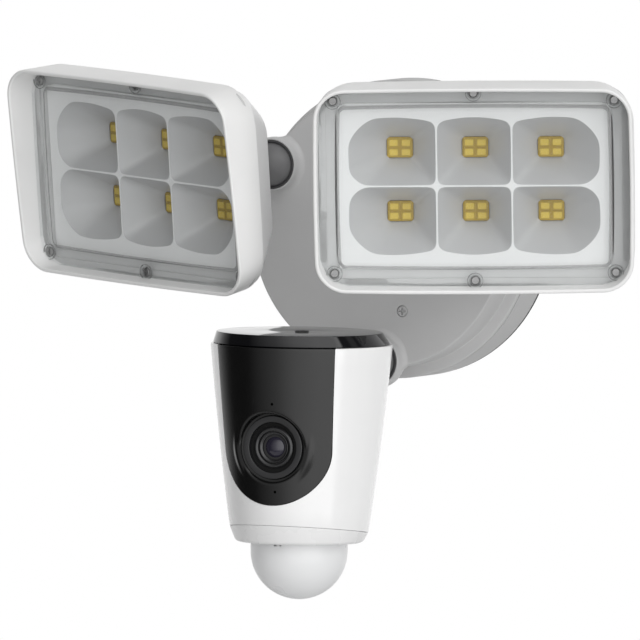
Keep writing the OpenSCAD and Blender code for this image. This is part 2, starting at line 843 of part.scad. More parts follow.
wall_plate();
earth_screw();
wall_gasket();
base_housing();
cable_grommet();
front_cover();
cover_gasket();
cover_screws();
mounting_screws();
socket_rings();
terminal_block();
driver_board();
driver_transformer();
driver_capacitors();
left_swung() ball_liner();  // left_ball_liner
left_tipped() ball_stud();  // left_ball_stud
left_tipped() neck_seal();  // left_neck_seal
left_tipped() neck_nut();  // left_neck_nut
on_left_lamp() rear_housing();  // left_rear_housing
on_left_lamp() hood();  // left_hood
on_left_lamp() lens_gasket();  // left_lens_gasket
on_left_lamp() lens();  // left_lens
on_left_lamp() lens_screws();  // left_lens_screws
on_left_lamp() reflector();  // left_reflector
on_left_lamp() led_board();  // left_led_board
on_left_lamp() led_modules();  // left_led_modules
on_left_lamp() heat_sink();  // left_heat_sink
right_swung() ball_liner();  // right_ball_liner
right_tipped() ball_stud();  // right_ball_stud
right_tipped() neck_seal();  // right_neck_seal
right_tipped() neck_nut();  // right_neck_nut
on_right_lamp() rear_housing();  // right_rear_housing
on_right_lamp() hood();  // right_hood
on_right_lamp() lens_gasket();  // right_lens_gasket
on_right_lamp() lens();  // right_lens
on_right_lamp() lens_screws();  // right_lens_screws
on_right_lamp() reflector();  // right_reflector
on_right_lamp() led_board();  // right_led_board
on_right_lamp() led_modules();  // right_led_modules
on_right_lamp() heat_sink();  // right_heat_sink
on_camera_neck() ball_liner();  // camera_ball_liner
on_camera_neck() ball_stud();  // camera_ball_stud
on_camera_neck() neck_seal();  // camera_neck_seal
on_camera_neck() neck_nut();  // camera_neck_nut
camera_shell();
camera_cap();
camera_front_panel();
camera_bottom_cover();
camera_screws();
reset_button();
pir_dome();
pir_board();
pir_sensors();
lens_ring();
lens_barrel();
lens_glass();
image_board();
main_board();
speaker();
antennas();
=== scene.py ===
"""Looks of a floodlight security camera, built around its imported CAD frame.

Sizes are in millimetres. A part's drawing frame has x to the right, y up and z out towards
the front, and a matrix stands it in the row frame, in metres.
"""
import json
import math

import bmesh
import bpy
import numpy as np
from mathutils import Matrix, Vector


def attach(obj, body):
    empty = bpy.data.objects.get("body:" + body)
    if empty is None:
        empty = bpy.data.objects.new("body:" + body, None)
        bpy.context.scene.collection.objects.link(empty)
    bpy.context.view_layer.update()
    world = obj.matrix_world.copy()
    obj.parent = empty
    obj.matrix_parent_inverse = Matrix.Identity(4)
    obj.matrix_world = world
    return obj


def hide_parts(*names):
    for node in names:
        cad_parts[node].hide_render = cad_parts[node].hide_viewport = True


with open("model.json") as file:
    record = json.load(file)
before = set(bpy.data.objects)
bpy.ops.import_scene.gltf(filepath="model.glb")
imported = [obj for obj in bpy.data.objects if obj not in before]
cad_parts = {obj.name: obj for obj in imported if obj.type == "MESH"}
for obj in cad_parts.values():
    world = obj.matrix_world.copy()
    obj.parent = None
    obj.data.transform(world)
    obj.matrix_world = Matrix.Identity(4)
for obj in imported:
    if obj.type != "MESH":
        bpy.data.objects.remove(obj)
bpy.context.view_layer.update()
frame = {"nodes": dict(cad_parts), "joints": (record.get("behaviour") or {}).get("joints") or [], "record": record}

MM = 0.001
JOINTS = {j["name"]: j for j in frame["joints"]}

# ---------- sizes ----------

BASE_R = 75
SEAM_DEPTH = 26.4
SHOULDER_DEPTH = 28.3
FRONT_R = 69
FRONT_DEPTH = 47.5
WALL = 2.4
SOCKET_CIRCLE_R = 65
SOCKETS = [
    (SOCKET_CIRCLE_R * math.cos(math.radians(a)), SOCKET_CIRCLE_R * math.sin(math.radians(a)))
    for a in (30, 150, 270)
]
BALL_DEPTH = 48.3
BOSS_R = 13.85
POCKET_R = 12.35
LIP = 4.7
BALL_R = 11.5
MOUNT_SCREWS = [(13.2, -40), (-13.2, 40)]

HEAD_RISE = 8
HOOD_W, HOOD_H, HOOD_R = 159.6, 105.4, 15
HOOD_BACK, HOOD_FRONT = 85.4, 104.4
HOOD_BACK_R = 21
HOOD_SLANT = math.tan(math.radians(3.5))
HOOD_WALL = 2
LEDGE_Z, LEDGE_TOP, LEDGE_INSET = 86.4, 88.4, 10.4
LENS_W, LENS_H, LENS_R = 155, 100.8, 12.7
LENS_Z, LENS_TOP = 89.6, 92.2
FACE_Z = 89.4
FACE_W, FACE_H, FACE_R = 136.8, 84.2, 5.5
LED_Z = 69.1
LED_PITCH_X, LED_PITCH_Y = 37.6, 32.2
MID_CUP_W, SIDE_CUP_W, CUP_H, RIB = 36.35, 43.2, 34.2, 1.15
SEAT_REACH = 54
LENS_SCREWS = [
    (sx * 70, sy * (43.6 if sx else 47.4)) for sy in (-1, 1) for sx in (-1, 0, 1)
]
LAMP_ROLL = {"left": math.radians(-3.2), "right": math.radians(0.4)}

UNIT_DEPTH = 146
UNIT_ROLL = math.radians(-0.8)
UNIT_TOP, UNIT_BOTTOM = -51.3, -144
UNIT_TOP_R, UNIT_BOTTOM_R = 45.4, 34.6
UNIT_SWELL = 0.6
SEAM_SLOPE = math.tan(math.radians(6))
SHELL_T = 2.2
CAP_TOP = -45.2
CAP_SHIFT, CAP_R, CAP_STILL_R = 3, 41.4, 4
LENS_HEIGHT = -101.4
RECESS_R = 17.2
LENS_PLANE = 34.5
MIC_X, MIC_RISE = 2.3, 22
COLLAR_Z, COLLAR_BLEND = 35.7, 3.6
PANEL_R = 29
PANEL_HALF_TOP = 32
BOTTOM_Z = -150.2
FOOT_R, FOOT_EDGE_R = 31.7, 2.6
DOME_R = 24.2
DOME_STRAIGHT = 4.6

# ---------- frames ----------


def axes_frame(origin, x, z):
    """Matrix that stands a drawing in millimetres at origin, with its x and z axes given."""
    x, z = Vector(x).normalized(), Vector(z).normalized()
    y = z.cross(x)
    turn = Matrix((x, y, z)).transposed().to_4x4()
    return Matrix.Translation(origin) @ turn @ Matrix.Scale(MM, 4)


WALL_FRAME = axes_frame((0, 0, 0), (1, 0, 0), (0, -1, 0))


def neck_frame(side):
    """Frame at a ball's centre, with z along the neck."""
    forward = Vector(JOINTS[side + "_roll"]["axis"]) * (-1 if side == "left" else 1)
    right = -Vector(JOINTS[side + "_tilt"]["axis"])
    return axes_frame(JOINTS[side + "_pan"]["pos_m"], right, forward)


def lamp_frame(side):
    """Frame of a lamp head: its neck's, turned on the neck and raised to the head's middle."""
    turn = Matrix.Rotation(LAMP_ROLL[side], 4, "Z")
    return neck_frame(side) @ turn @ Matrix.Translation((0, HEAD_RISE, 0))


def unit_frame(height, turn=0.0, axis="X"):
    """Frame on the camera unit's axis, at a height in millimetres, turned from its neck's."""
    place = Matrix.Translation((0, height + SOCKET_CIRCLE_R, UNIT_DEPTH - BALL_DEPTH))
    return neck_frame("camera") @ Matrix.Rotation(UNIT_ROLL, 4, "Z") @ place @ Matrix.Rotation(turn, 4, axis)


UNIT_FRAME = unit_frame(0, -math.pi / 2)
LENS_FRAME = unit_frame(LENS_HEIGHT)


# ---------- outlines and meshes ----------


def soften(path, closed=False, steps=5):
    """Points of a path of (x, y, radius), with each corner rounded to its radius."""
    points = []
    for i, (x, y, radius) in enumerate(path):
        here = Vector((x, y))
        if not radius or (not closed and i in (0, len(path) - 1)):
            points.append((x, y))
            continue
        back = Vector(path[i - 1][:2]) - here
        ahead = Vector(path[(i + 1) % len(path)][:2]) - here
        half = back.angle(ahead) / 2
        reach = min(radius / math.tan(half), 0.495 * min(back.length, ahead.length))
        radius = reach * math.tan(half)
        back.normalize()
        ahead.normalize()
        centre = here + (back + ahead).normalized() * radius / math.sin(half)
        start, end = here + back * reach - centre, here + ahead * reach - centre
        sweep_angle = start.angle(end)
        for k in range(steps + 1):
            t = k / steps
            spoke = start * math.sin((1 - t) * sweep_angle) + end * math.sin(t * sweep_angle)
            points.append(tuple(centre + spoke / math.sin(sweep_angle)))
    return points


def round_rect(w, h, r, bow=0.0, corner=10, side=12):
    """Outline of a rectangle with round corners, whose sides may bow out to w and h."""
    half_w, half_h = w / 2 - bow, h / 2 - bow
    points = []
    for quarter, (sx, sy) in enumerate(((1, 1), (-1, 1), (-1, -1), (1, -1))):
        cx, cy = sx * (half_w - r), sy * (half_h - r)
        for k in range(corner + 1):
            a = math.pi / 2 * (quarter + k / corner)
            points.append((cx + r * math.cos(a), cy + r * math.sin(a)))
        nx, ny = ((-1, 1), (-1, -1), (1, -1), (1, 1))[quarter]
        end = (
            (nx * (half_w - r), ny * half_h) if quarter % 2 == 0 else (nx * half_w, ny * (half_h - r))
        )
        last = points[-1]
        for k in range(1, side):
            t = k / side
            points.append((last[0] + (end[0] - last[0]) * t, last[1] + (end[1] - last[1]) * t))
    return [
        (
            x + bow * x / half_w * (1 - (y / half_h) ** 2),
            y + bow * y / half_h * (1 - (x / half_w) ** 2),
        )
        for x, y in points
    ]


def circle(r, segments=96, phase=0.0):
    """Outline of a circle."""
    return [
        (r * math.cos(math.tau * k / segments + phase), r * math.sin(math.tau * k / segments + phase))
        for k in range(segments)
    ]


def link_object(name, data):
    """New object in the scene."""
    thing = bpy.data.objects.new(name, data)
    bpy.context.scene.collection.objects.link(thing)
    return thing


class Part:
    """Collects the surfaces of one piece, in a drawing frame, and makes the piece."""

    def __init__(self, name):
        self.name = name
        self.verts, self.faces, self.slots = [], [], []

    def add(self, verts, faces, slot=0):
        base = len(self.verts)
        self.verts += [tuple(v) for v in verts]
        self.faces += [[base + i for i in f] for f in faces]
        self.slots += [slot] * len(faces)
        return self

    def sweep(self, outline, profile, slot=0, closed=False, caps=(True, True)):
        """Surface through outline(inset) at each (inset, z) of the profile."""
        rings = [[(x, y, z) for x, y in outline(inset)] for inset, z in profile]
        n = len(rings[0])
        rows = len(rings)
        faces = []
        for i in range(rows if closed else rows - 1):
            a, b = i * n, (i + 1) % rows * n
            faces += [(a + k, a + (k + 1) % n, b + (k + 1) % n, b + k) for k in range(n)]
        if not closed:
            if caps[0]:
                faces.append(tuple(range(n))[::-1])
            if caps[1]:
                faces.append(tuple(range((rows - 1) * n, rows * n)))
        return self.add([p for ring in rings for p in ring], faces, slot)

    def turn(self, profile, slot=0, segments=96, closed=False, at=(0, 0), caps=(False, False)):
        """Surface of (radius, z) points turned round z."""
        def outline(r):
            return [(at[0] + x, at[1] + y) for x, y in circle(max(r, 1e-6), segments)]
        return self.sweep(outline, profile, slot, closed, caps)

    def mesh(self, name, matrix, thin_out=False):
        """Mesh of the surfaces, with points joined and faces turned outwards."""
        mesh = bpy.data.meshes.new(name)
        mesh.from_pydata([matrix @ Vector(v) for v in self.verts], [], self.faces)
        for polygon, index in zip(mesh.polygons, self.slots):
            polygon.material_index = index
        bm = bmesh.new()
        bm.from_mesh(mesh)
        bmesh.ops.remove_doubles(bm, verts=bm.verts, dist=2e-6)
        if thin_out:
            bmesh.ops.dissolve_degenerate(bm, edges=bm.edges, dist=1e-6)
        bmesh.ops.recalc_face_normals(bm, faces=bm.faces)
        bm.to_mesh(mesh)
        bm.free()
        return mesh

    def make(self, matrix, finishes, body, nodes, sharp=35, slot=None):
        """The finished piece: it rides on a body and stands for CAD nodes.

        The slot argument is not used.
        """
        mesh = self.mesh(self.name, matrix, True)
        mesh.shade_smooth()
        mesh.set_sharp_from_angle(angle=math.radians(sharp))
        piece = link_object(self.name, mesh)
        for finish in finishes:
            mesh.materials.append(MATERIALS[finish])
        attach(piece, body)
        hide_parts(*nodes)
        return piece


def shrink(w, h, r, bow=0.0):
    """Outline function of a round rectangle made smaller by an inset."""
    return lambda inset: round_rect(w - 2 * inset, h - 2 * inset, max(r - inset, 1.0), bow)


# ---------- rounded solids from distance fields ----------


def round_union(a, b, r):
    """Union of two distance fields with a fillet of radius r."""
    u, v = np.maximum(r - a, 0), np.maximum(r - b, 0)
    return np.maximum(r, np.minimum(a, b)) - np.hypot(u, v)


def disc_field(p, radius, low, high, r):
    """Distance to a disc round z, with edges rounded to r."""
    q = np.hypot(p[:, 0], p[:, 1]) - radius + r
    h = np.abs(p[:, 2] - (low + high) / 2) - (high - low) / 2 + r
    outside = np.hypot(np.maximum(q, 0), np.maximum(h, 0))
    return outside + np.minimum(np.maximum(q, h), 0) - r


def surface_of(field, low, high, step):
    """Vertices and quads of the surface where field is zero, found on a grid and drawn onto it."""
    axes = [np.arange(a, b + step, step) for a, b in zip(low, high)]
    shape = tuple(len(a) for a in axes)
    grid = np.stack(np.meshgrid(*axes, indexing="ij"), -1).reshape(-1, 3)
    value = field(grid).reshape(shape)
    inside = value < 0
    cells = tuple(s - 1 for s in shape)
    corners = [(i, j, k) for i in (0, 1) for j in (0, 1) for k in (0, 1)]

    def window(array, c):
        return array[tuple(slice(o, o + n) for o, n in zip(c, cells))]

    count = sum(window(inside, c).astype(int) for c in corners)
    active = (count > 0) & (count < 8)
    number = -np.ones(cells, int)
    number[active] = np.arange(active.sum())
    index = np.argwhere(active)
    total, hits = np.zeros((len(index), 3)), np.zeros(len(index))
    for c in corners:
        for axis in range(3):
            if c[axis]:
                continue
            d = list(c)
            d[axis] = 1
            a, b = window(value, c)[active], window(value, d)[active]
            crossed = (a < 0) != (b < 0)
            t = np.where(crossed, a / np.where(crossed, a - b, 1), 0)
            point = np.array(c, float) + t[:, None] * np.eye(3)[axis]
            total += point * crossed[:, None]
            hits += crossed
    verts = np.array([a[0] for a in axes]) + (index + total / hits[:, None]) * step
    for _ in range(4):
        d = field(verts)
        slope = np.stack(
            [(field(verts + e) - field(verts - e)) / 0.02 for e in np.eye(3) * 0.01], -1
        )
        push = slope * (d / np.maximum((slope**2).sum(1), 0.05))[:, None]
        verts = verts - np.clip(push, -step / 2, step / 2)
    quads = []
    for axis in range(3):
        b, c = (axis + 1) % 3, (axis + 2) % 3
        low_part = [slice(1, n) for n in cells]
        low_part[axis] = slice(0, cells[axis])
        high_part = list(low_part)
        high_part[axis] = slice(1, shape[axis])
        first, second = inside[tuple(low_part)], inside[tuple(high_part)]
        for out in (True, False):
            at = np.argwhere((first != second) & (first == out))
            at += [0 if i == axis else 1 for i in range(3)]
            ring = []
            for db, dc in ((1, 1), (0, 1), (0, 0), (1, 0)):
                cell = at.copy()
                cell[:, b] -= db
                cell[:, c] -= dc
                ring.append(number[tuple(cell.T)])
            quad = np.stack(ring, 1)
            quads.append(quad if out else quad[:, ::-1])
    return verts, np.concatenate(quads)


# ---------- materials ----------


def material_nodes(name):
    """New material with its node tree and Principled shader."""
    material = bpy.data.materials.new(name)
    material.use_nodes = True
    tree = material.node_tree
    return material, tree, tree.nodes["Principled BSDF"]


def fill(node, values):
    """Sets inputs of a node, by name or number."""
    for key, value in values.items():
        node.inputs[key].default_value = value
    return node


def new_node(tree, kind, values=None):
    """New shader node with values for its inputs."""
    return fill(tree.nodes.new("ShaderNode" + kind), values or {})


def noise(tree, scale, detail=2.0, roughness=0.5):
    """Noise in the row frame, at a number of bumps per metre."""
    place = new_node(tree, "TexCoord")
    node = new_node(tree, "TexNoise", {"Scale": scale, "Detail": detail, "Roughness": roughness})
    tree.links.new(place.outputs["Object"], node.inputs["Vector"])
    return node.outputs["Fac"]


def spread(tree, source, low, high):
    """A source from 0.3 to 0.7 stretched over low to high."""
    node = new_node(tree, "MapRange", {"From Min": 0.3, "From Max": 0.7, "To Min": low, "To Max": high})
    tree.links.new(source, node.inputs["Value"])
    return node.outputs["Result"]


def tint(tree, source, colour, change):
    """Colour that a source makes darker and lighter by a share."""
    ramp = new_node(tree, "ValToRGB")
    for element, at, share in zip(ramp.color_ramp.elements, (0.3, 0.7), (1 - change, 1 + change)):
        element.position = at
        element.color = (*[min(1, c * share) for c in colour], 1)
    tree.links.new(source, ramp.inputs["Fac"])
    return ramp.outputs["Color"]


def finish_of(name, colour, rough, grain=2500, relief=0.00002, change=0.03, swing=0.05, coat=0.0,
              metal=0.0, stretch=None):
    """Moulded, painted or metal finish: a fine grain, a slow change of colour and of gloss."""
    material, tree, shader = material_nodes(name)
    links = tree.links
    colour = colour if isinstance(colour, tuple) else (colour,) * 3
    links.new(tint(tree, noise(tree, 18, 3), colour, change), shader.inputs["Base Color"])
    links.new(spread(tree, noise(tree, 60, 4), rough - swing, rough + swing), shader.inputs["Roughness"])
    fine = noise(tree, grain, 3, 0.6)
    if stretch:
        mapping = new_node(tree, "Mapping", {"Scale": stretch})
        vector = fine.node.inputs["Vector"]
        links.new(vector.links[0].from_socket, mapping.inputs["Vector"])
        links.new(mapping.outputs["Vector"], vector)
    bump = new_node(tree, "Bump", {"Strength": 0.6, "Distance": relief})
    links.new(fine, bump.inputs["Height"])
    links.new(bump.outputs["Normal"], shader.inputs["Normal"])
    fill(shader, {"Metallic": metal, "Coat Weight": coat, "Coat Roughness": 0.06})
    return material


def clear_plastic(name, tone, share):
    """Clear sheet: it shows what is behind it and mirrors more at a slant."""
    material, tree, shader = material_nodes(name)
    links = tree.links
    links.new(tint(tree, noise(tree, 25, 2), tone, 0.02), shader.inputs["Base Color"])
    links.new(spread(tree, noise(tree, 90, 3), 0.03, 0.07), shader.inputs["Roughness"])
    window = new_node(tree, "BsdfTransparent", {"Color": (0.97, 0.975, 0.975, 1)})
    slant = new_node(tree, "LayerWeight", {"Blend": 0.5})
    sharper = new_node(tree, "Math", {1: 5})
    sharper.operation = "POWER"
    less = new_node(tree, "MapRange", {"From Min": 0.0, "From Max": 1.0, "To Min": share, "To Max": 0.9})
    mix = new_node(tree, "MixShader")
    links.new(slant.outputs["Facing"], sharper.inputs[0])
    links.new(sharper.outputs["Value"], less.inputs["Value"])
    links.new(less.outputs["Result"], mix.inputs["Fac"])
    links.new(window.outputs["BSDF"], mix.inputs[1])
    links.new(shader.outputs["BSDF"], mix.inputs[2])
    links.new(mix.outputs["Shader"], tree.nodes["Material Output"].inputs["Surface"])
    return material


WHITE = (0.83, 0.83, 0.825)
# colour (one number is a grey), roughness, and what differs from a plain finish
FINISHES = {
    "white_hood": (WHITE, 0.42),
    "white_housing": (0.8, 0.45, dict(relief=0.00003)),
    "white_gloss": (0.86, 0.22, dict(relief=0.000005, change=0.01, coat=0.3)),
    "white_bottom": (0.82, 0.28, dict(relief=0.000008, change=0.01)),
    "white_reflector": (0.88, 0.35, dict(relief=0.000006, change=0.015)),
    # reflector cups: a darker grey than the plate, as painted shade for their depth
    "cup_grey_painted_shade": ((0.56, 0.56, 0.565), 0.36, dict(relief=0.000006, change=0.015)),
    "white_board": ((0.7, 0.7, 0.68), 0.4),
    "grey_cover": (0.54, 0.48, dict(grain=1800, relief=0.00004)),
    "grey_shell": (0.48, 0.5, dict(grain=1800, relief=0.00004)),
    "grey_screw": (0.53, 0.46),
    "dark_joint": ((0.16, 0.16, 0.163), 0.42, dict(grain=3000, relief=0.00003)),
    "dark_ring": ((0.05, 0.05, 0.052), 0.5),
    "dark_seal": (0.1, 0.7),
    "black_foam": ((0.025, 0.025, 0.027), 0.9, dict(grain=900, relief=0.0002)),
    "black_rubber": (0.02, 0.7, dict(relief=0.00004)),
    "black_gloss": ((0.004, 0.004, 0.005), 0.07, dict(relief=0.000001, swing=0.02)),
    "black_panel": (0.003, 0.22, dict(relief=0.000002, swing=0.02)),
    "black_button": (0.02, 0.55, dict(relief=0.00003)),
    "black_ring": ((0.012, 0.012, 0.013), 0.3, dict(relief=0.000004, coat=0.3)),
    "black_barrel": (0.015, 0.6),
    # groove floor: near black, darker than the lens ring, as painted shade for the groove
    "groove_painted_shade": (0.001, 0.85),
    "milky_dome": ((0.8, 0.805, 0.81), 0.32, dict(grain=1500, relief=0.00001, change=0.01)),
    "pale_seal": (0.58, 0.6),
    "grey_ledge": (0.6, 0.5),
    "ivory_plastic": ((0.75, 0.7, 0.58), 0.5),
    "nylon_liner": ((0.75, 0.75, 0.7), 0.45),
    "speaker_grey": (0.15, 0.7),
    "green_board": ((0.015, 0.12, 0.05), 0.3, dict(change=0.15, coat=0.4)),
    "green_screw": ((0.04, 0.28, 0.1), 0.35, dict(change=0.1)),
    "transformer_tape": ((0.6, 0.42, 0.05), 0.3, dict(change=0.08)),
    "capacitor_sleeve": ((0.015, 0.02, 0.07), 0.25),
    "zinc_steel": ((0.55, 0.56, 0.57), 0.38, dict(metal=1.0, change=0.08)),
    "zinc_screw": (0.55, 0.32, dict(metal=1.0, change=0.06)),
    "zinc_nut": (0.55, 0.35, dict(metal=1.0, change=0.06)),
    "steel_screw": (0.36, 0.42, dict(metal=1.0, change=0.05)),
    "sensor_can": ((0.6, 0.58, 0.54), 0.28, dict(metal=1.0)),
    "copper_strip": ((0.7, 0.45, 0.15), 0.3, dict(metal=1.0)),
    "cast_sink": ((0.6, 0.6, 0.61), 0.42, dict(metal=1.0, stretch=(1, 1, 0.04))),
    "led_base": ((0.46, 0.31, 0.02), 0.4, dict(change=0.12)),
    "led_yellow": ((0.72, 0.53, 0.07), 0.5, dict(grain=4000, relief=0.00003, change=0.1)),
    "lens_glass": ((0.022, 0.02, 0.034), 0.07, dict(relief=0.0000005, swing=0.01, coat=0.2)),
}
MATERIALS = {
    name: finish_of(name, colour, rough, **(more[0] if more else {}))
    for name, (colour, rough, *more) in FINISHES.items()
}
MATERIALS["clear_lens"] = clear_plastic("clear_lens", (0.85, 0.86, 0.86), 0.03)
# steep walls of the lens: half dark grey, as painted shade for the dark lines at the ridge and screw bosses
MATERIALS["clear_edge_painted_shade"] = clear_plastic("clear_edge_painted_shade", (0.22, 0.22, 0.22), 0.5)

# ---------- base ----------


def socket_field(x, y):
    """Distance to the boss of one ball socket, blended into the cover round it."""
    def field(p):
        skin = 0.06
        low = disc_field(p, BASE_R - skin, SEAM_DEPTH - 10, SHOULDER_DEPTH - skin, 1.5)
        high = disc_field(p, FRONT_R - skin, SEAM_DEPTH - 10, FRONT_DEPTH - skin, 1.0)
        ball = p - np.array([x, y, BALL_DEPTH])
        boss = np.maximum(np.linalg.norm(ball, axis=1) - BOSS_R, ball[:, 2] - LIP + 0.7)
        solid = round_union(np.minimum(low, high), boss, 3.2)
        across = np.hypot(ball[:, 0], ball[:, 1])
        bore = np.where(ball[:, 2] < 0, np.linalg.norm(ball, axis=1), across) - POCKET_R - 0.5
        return np.maximum.reduce([solid, -bore, across - 19, BALL_DEPTH - 15 - p[:, 2]])
    return field


def make_cover():
    """Front cover: a stepped disc with three ball sockets and two screw holes."""
    profile = soften(
        [(1e-6, FRONT_DEPTH, 0), (FRONT_R, FRONT_DEPTH, 1.0), (FRONT_R, SHOULDER_DEPTH, 0.6),
         (BASE_R, SHOULDER_DEPTH, 1.5), (BASE_R, SEAM_DEPTH, 0), (FRONT_R - WALL, SEAM_DEPTH, 0),
         (FRONT_R - WALL, FRONT_DEPTH - WALL, 1), (1e-6, FRONT_DEPTH - WALL, 0)]
    )
    part = Part("cover").turn(profile, segments=256, closed=True)
    piece = part.make(WALL_FRAME, ["grey_cover"], "base", ["front_cover"], 40)
    holes = Part("holes")
    for at, radius in [(at, POCKET_R + 0.6) for at in SOCKETS] + [(at, 3.0) for at in MOUNT_SCREWS]:
        low = FRONT_DEPTH - (12 if radius > 5 else 2.4)
        holes.turn([(1e-6, low), (radius, low), (radius, FRONT_DEPTH + 9), (1e-6, FRONT_DEPTH + 9)], at=at)
    carve(piece, [holes], WALL_FRAME, sharp=40)
    bosses = Part("bosses")
    # the lip of each socket is turned, which keeps its edges crisp
    slope = np.linspace(math.asin(2.4 / BOSS_R), math.asin(LIP / BOSS_R), 6)
    lip = soften(
        [((BOSS_R + 0.03) * math.cos(a), BOSS_R * math.sin(a), 0.45 if a == slope[-1] else 0) for a in slope]
        + [(POCKET_R, LIP, 0.4), (POCKET_R, -3, 0), (POCKET_R + 0.7, -3, 0), (POCKET_R + 0.7, 2.4, 0)],
        closed=True,
    )
    for x, y in SOCKETS:
        verts, quads = surface_of(
            socket_field(x, y), (x - 20, y - 20, BALL_DEPTH - 16), (x + 20, y + 20, BALL_DEPTH + LIP + 1), 0.6
        )
        bosses.add(verts, quads.tolist())
        bosses.turn([(r, z + BALL_DEPTH) for r, z in lip], closed=True, at=(x, y))
    bosses.make(WALL_FRAME, ["grey_cover"], "base", ["front_cover"], 50)


def make_mount_screws():
    """Two long screws, their heads in the cover, that hold the base to the wall plate."""
    part = Part("wall_screws")
    for at in MOUNT_SCREWS:
        cross_head(part, at, FRONT_DEPTH - 2.4, 2.98, 2.38)
        part.turn([(1.9, FRONT_DEPTH - 2.4), (1.9, 2), (1e-6, 0.6)], segments=24, at=at)
    part.make(WALL_FRAME, ["grey_screw"], "base", ["mounting_screws"])


def make_socket_rings():
    """Rings that keep the balls in; their near-black colour is painted shade for the gap round each ball."""
    part = Part("rings")
    profile = soften([(POCKET_R, 3.3, 0), (POCKET_R, LIP, 0.4), (10.7, LIP, 0.5), (11.25, 3.3, 0)], True)
    for at in SOCKETS:
        part.turn([(r, z + BALL_DEPTH) for r, z in profile], closed=True, at=at)
    part.make(WALL_FRAME, ["dark_ring"], "base", ["socket_rings"])


def make_stud(side):
    """Ball, neck and flange of one ball joint."""
    ball = [
        (BALL_R * math.cos(a), BALL_R * math.sin(a))
        for a in np.linspace(-1.15, math.acos(5.8 / BALL_R), 28)
    ]
    neck = soften(
        [(5.8, 10.6, 0), (5.8, 11.4, 2.0), (8, 17, 4), (8, 42, 5), (13, 48, 1.2), (13, 53.7, 0.3),
         (6.95, 53.7, 0.2), (6.95, 63, 0.4), (4, 63, 0.2), (4, -10.5, 0)],
        steps=6,
    )
    part = Part(side + "_neck").turn(ball + neck[1:], closed=True)
    part.make(neck_frame(side), ["dark_joint"], side + "_arm", [side + "_ball_stud"])


# ---------- lamp heads ----------


def make_hood(side):
    """Hood round the lens, and the ledge that the lens lies on. Its corners are rounder at the back."""
    edge = 0.9
    profile = soften(
        [(0.3, HOOD_BACK, 0.5), (0, HOOD_BACK + 1, 0), (0, HOOD_FRONT, edge), (HOOD_WALL, HOOD_FRONT, edge),
         (HOOD_WALL + 0.2, LEDGE_TOP, 0.6), (LEDGE_INSET, LEDGE_TOP, 0.3), (LEDGE_INSET, LEDGE_Z, 0.3),
         (HOOD_WALL, LEDGE_Z, 0.3), (HOOD_WALL, HOOD_BACK, 0.3)],
        closed=True,
    )
    radii = np.interp(
        [z for _, z in profile], [HOOD_BACK, LENS_Z + 1, HOOD_FRONT], [HOOD_BACK_R, HOOD_R + 0.5, HOOD_R]
    )
    rows = [
        round_rect(HOOD_W - 2 * inset, HOOD_H - 2 * inset, max(r - inset, 1), 0.8)
        for (inset, _), r in zip(profile, radii)
    ]
    part = Part(side + "_hood_rim").sweep(
        lambda i: rows[i], [(i, z) for i, (_, z) in enumerate(profile)], closed=True
    )
    on_ledge = [z < LEDGE_TOP + 0.01 and inset > HOOD_WALL + 0.3 for inset, z in profile]
    ledge = [on for on in on_ledge for _ in rows[0]]
    part.slots = [int(all(ledge[v] for v in face)) for face in part.faces]
    # the front edge slants, so that it reaches further out at the top
    part.verts = [
        (x, y, z + max(z - LEDGE_TOP, 0) / (HOOD_FRONT - LEDGE_TOP) * HOOD_SLANT * y) for x, y, z in part.verts
    ]
    part.make(lamp_frame(side), ["white_hood", "grey_ledge"], side + "_lamp", [side + "_hood"])


def make_rear(side):
    """Pan-shaped rear housing."""
    half_w, half_h = HOOD_W / 2, HOOD_H / 2
    steps = [
        (48, 25, SEAT_REACH + 2, 0), (58, 34, SEAT_REACH + 7.5, 4), (73, 46, LEDGE_Z - 3, 1),
        (73, 46, LEDGE_Z - 0.1, 0), (76.5, 49.4, LEDGE_Z - 0.1, 0.5), (76.8, 49.7, LEDGE_Z - 2.4, 2),
        (60, 36, SEAT_REACH + 6, 5), (50, 27, SEAT_REACH, 3),
    ]
    path = soften([(half_w - w, z, r) for w, h, z, r in steps])
    heights = soften([(half_h - h, z, r) for w, h, z, r in steps])
    corners = np.interp([z for _, z in path], [SEAT_REACH, SEAT_REACH + 6, LEDGE_Z], [12, 14, 14])
    rows = [
        round_rect(HOOD_W - 2 * ix, HOOD_H - 2 * iy, c)
        for (ix, _), (iy, _), c in zip(path, heights, corners)
    ]
    part = Part(side + "_back").sweep(lambda i: rows[i], [(i, z) for i, (_, z) in enumerate(path)])
    part.make(lamp_frame(side), ["white_housing"], side + "_lamp", [side + "_rear_housing"])


def make_lens(side):
    """Clear lens with a raised middle and six screw bosses; the ridge's and bosses' steep walls are half dark grey
    as painted shade.
    """
    ridge, low, high = 8.5, LENS_TOP - 0.4, LENS_TOP + 0.5
    outline = shrink(LENS_W, LENS_H, LENS_R, 0.8)
    part = Part(side + "_clear_cover")
    border = soften([(1, LENS_Z, 0), (0, LENS_Z, 0.2), (0, low, 0.5), (ridge, low, 0)])
    slope = soften(
        [(ridge, low, 0), (ridge + 0.5, low, 0.2), (ridge + 1.1, high, 0.3), (ridge + 1.8, high, 0)]
    )
    part.sweep(outline, border, caps=(True, False))
    # slot 1, the ridge's slope and the bosses' walls, is half dark grey as painted shade for their edge lines
    part.sweep(outline, slope, 1, caps=(False, False))
    part.sweep(outline, [(ridge + 1.8, high), (ridge + 4, high)], caps=(False, True))
    top = LENS_TOP + 0.8
    for at in LENS_SCREWS:
        for slot, path in (
            (0, [(3.65, top), (2.75, top)]),
            (1, soften([(4, low, 0), (4, top, 0.3), (3.65, top, 0)])),
            (1, [(2.75, top), (2.5, top - 0.2), (2.5, low)]),
        ):
            part.turn(path, slot, segments=48, at=at)
    part.make(lamp_frame(side), ["clear_lens", "clear_edge_painted_shade"], side + "_lamp", [side + "_lens"])


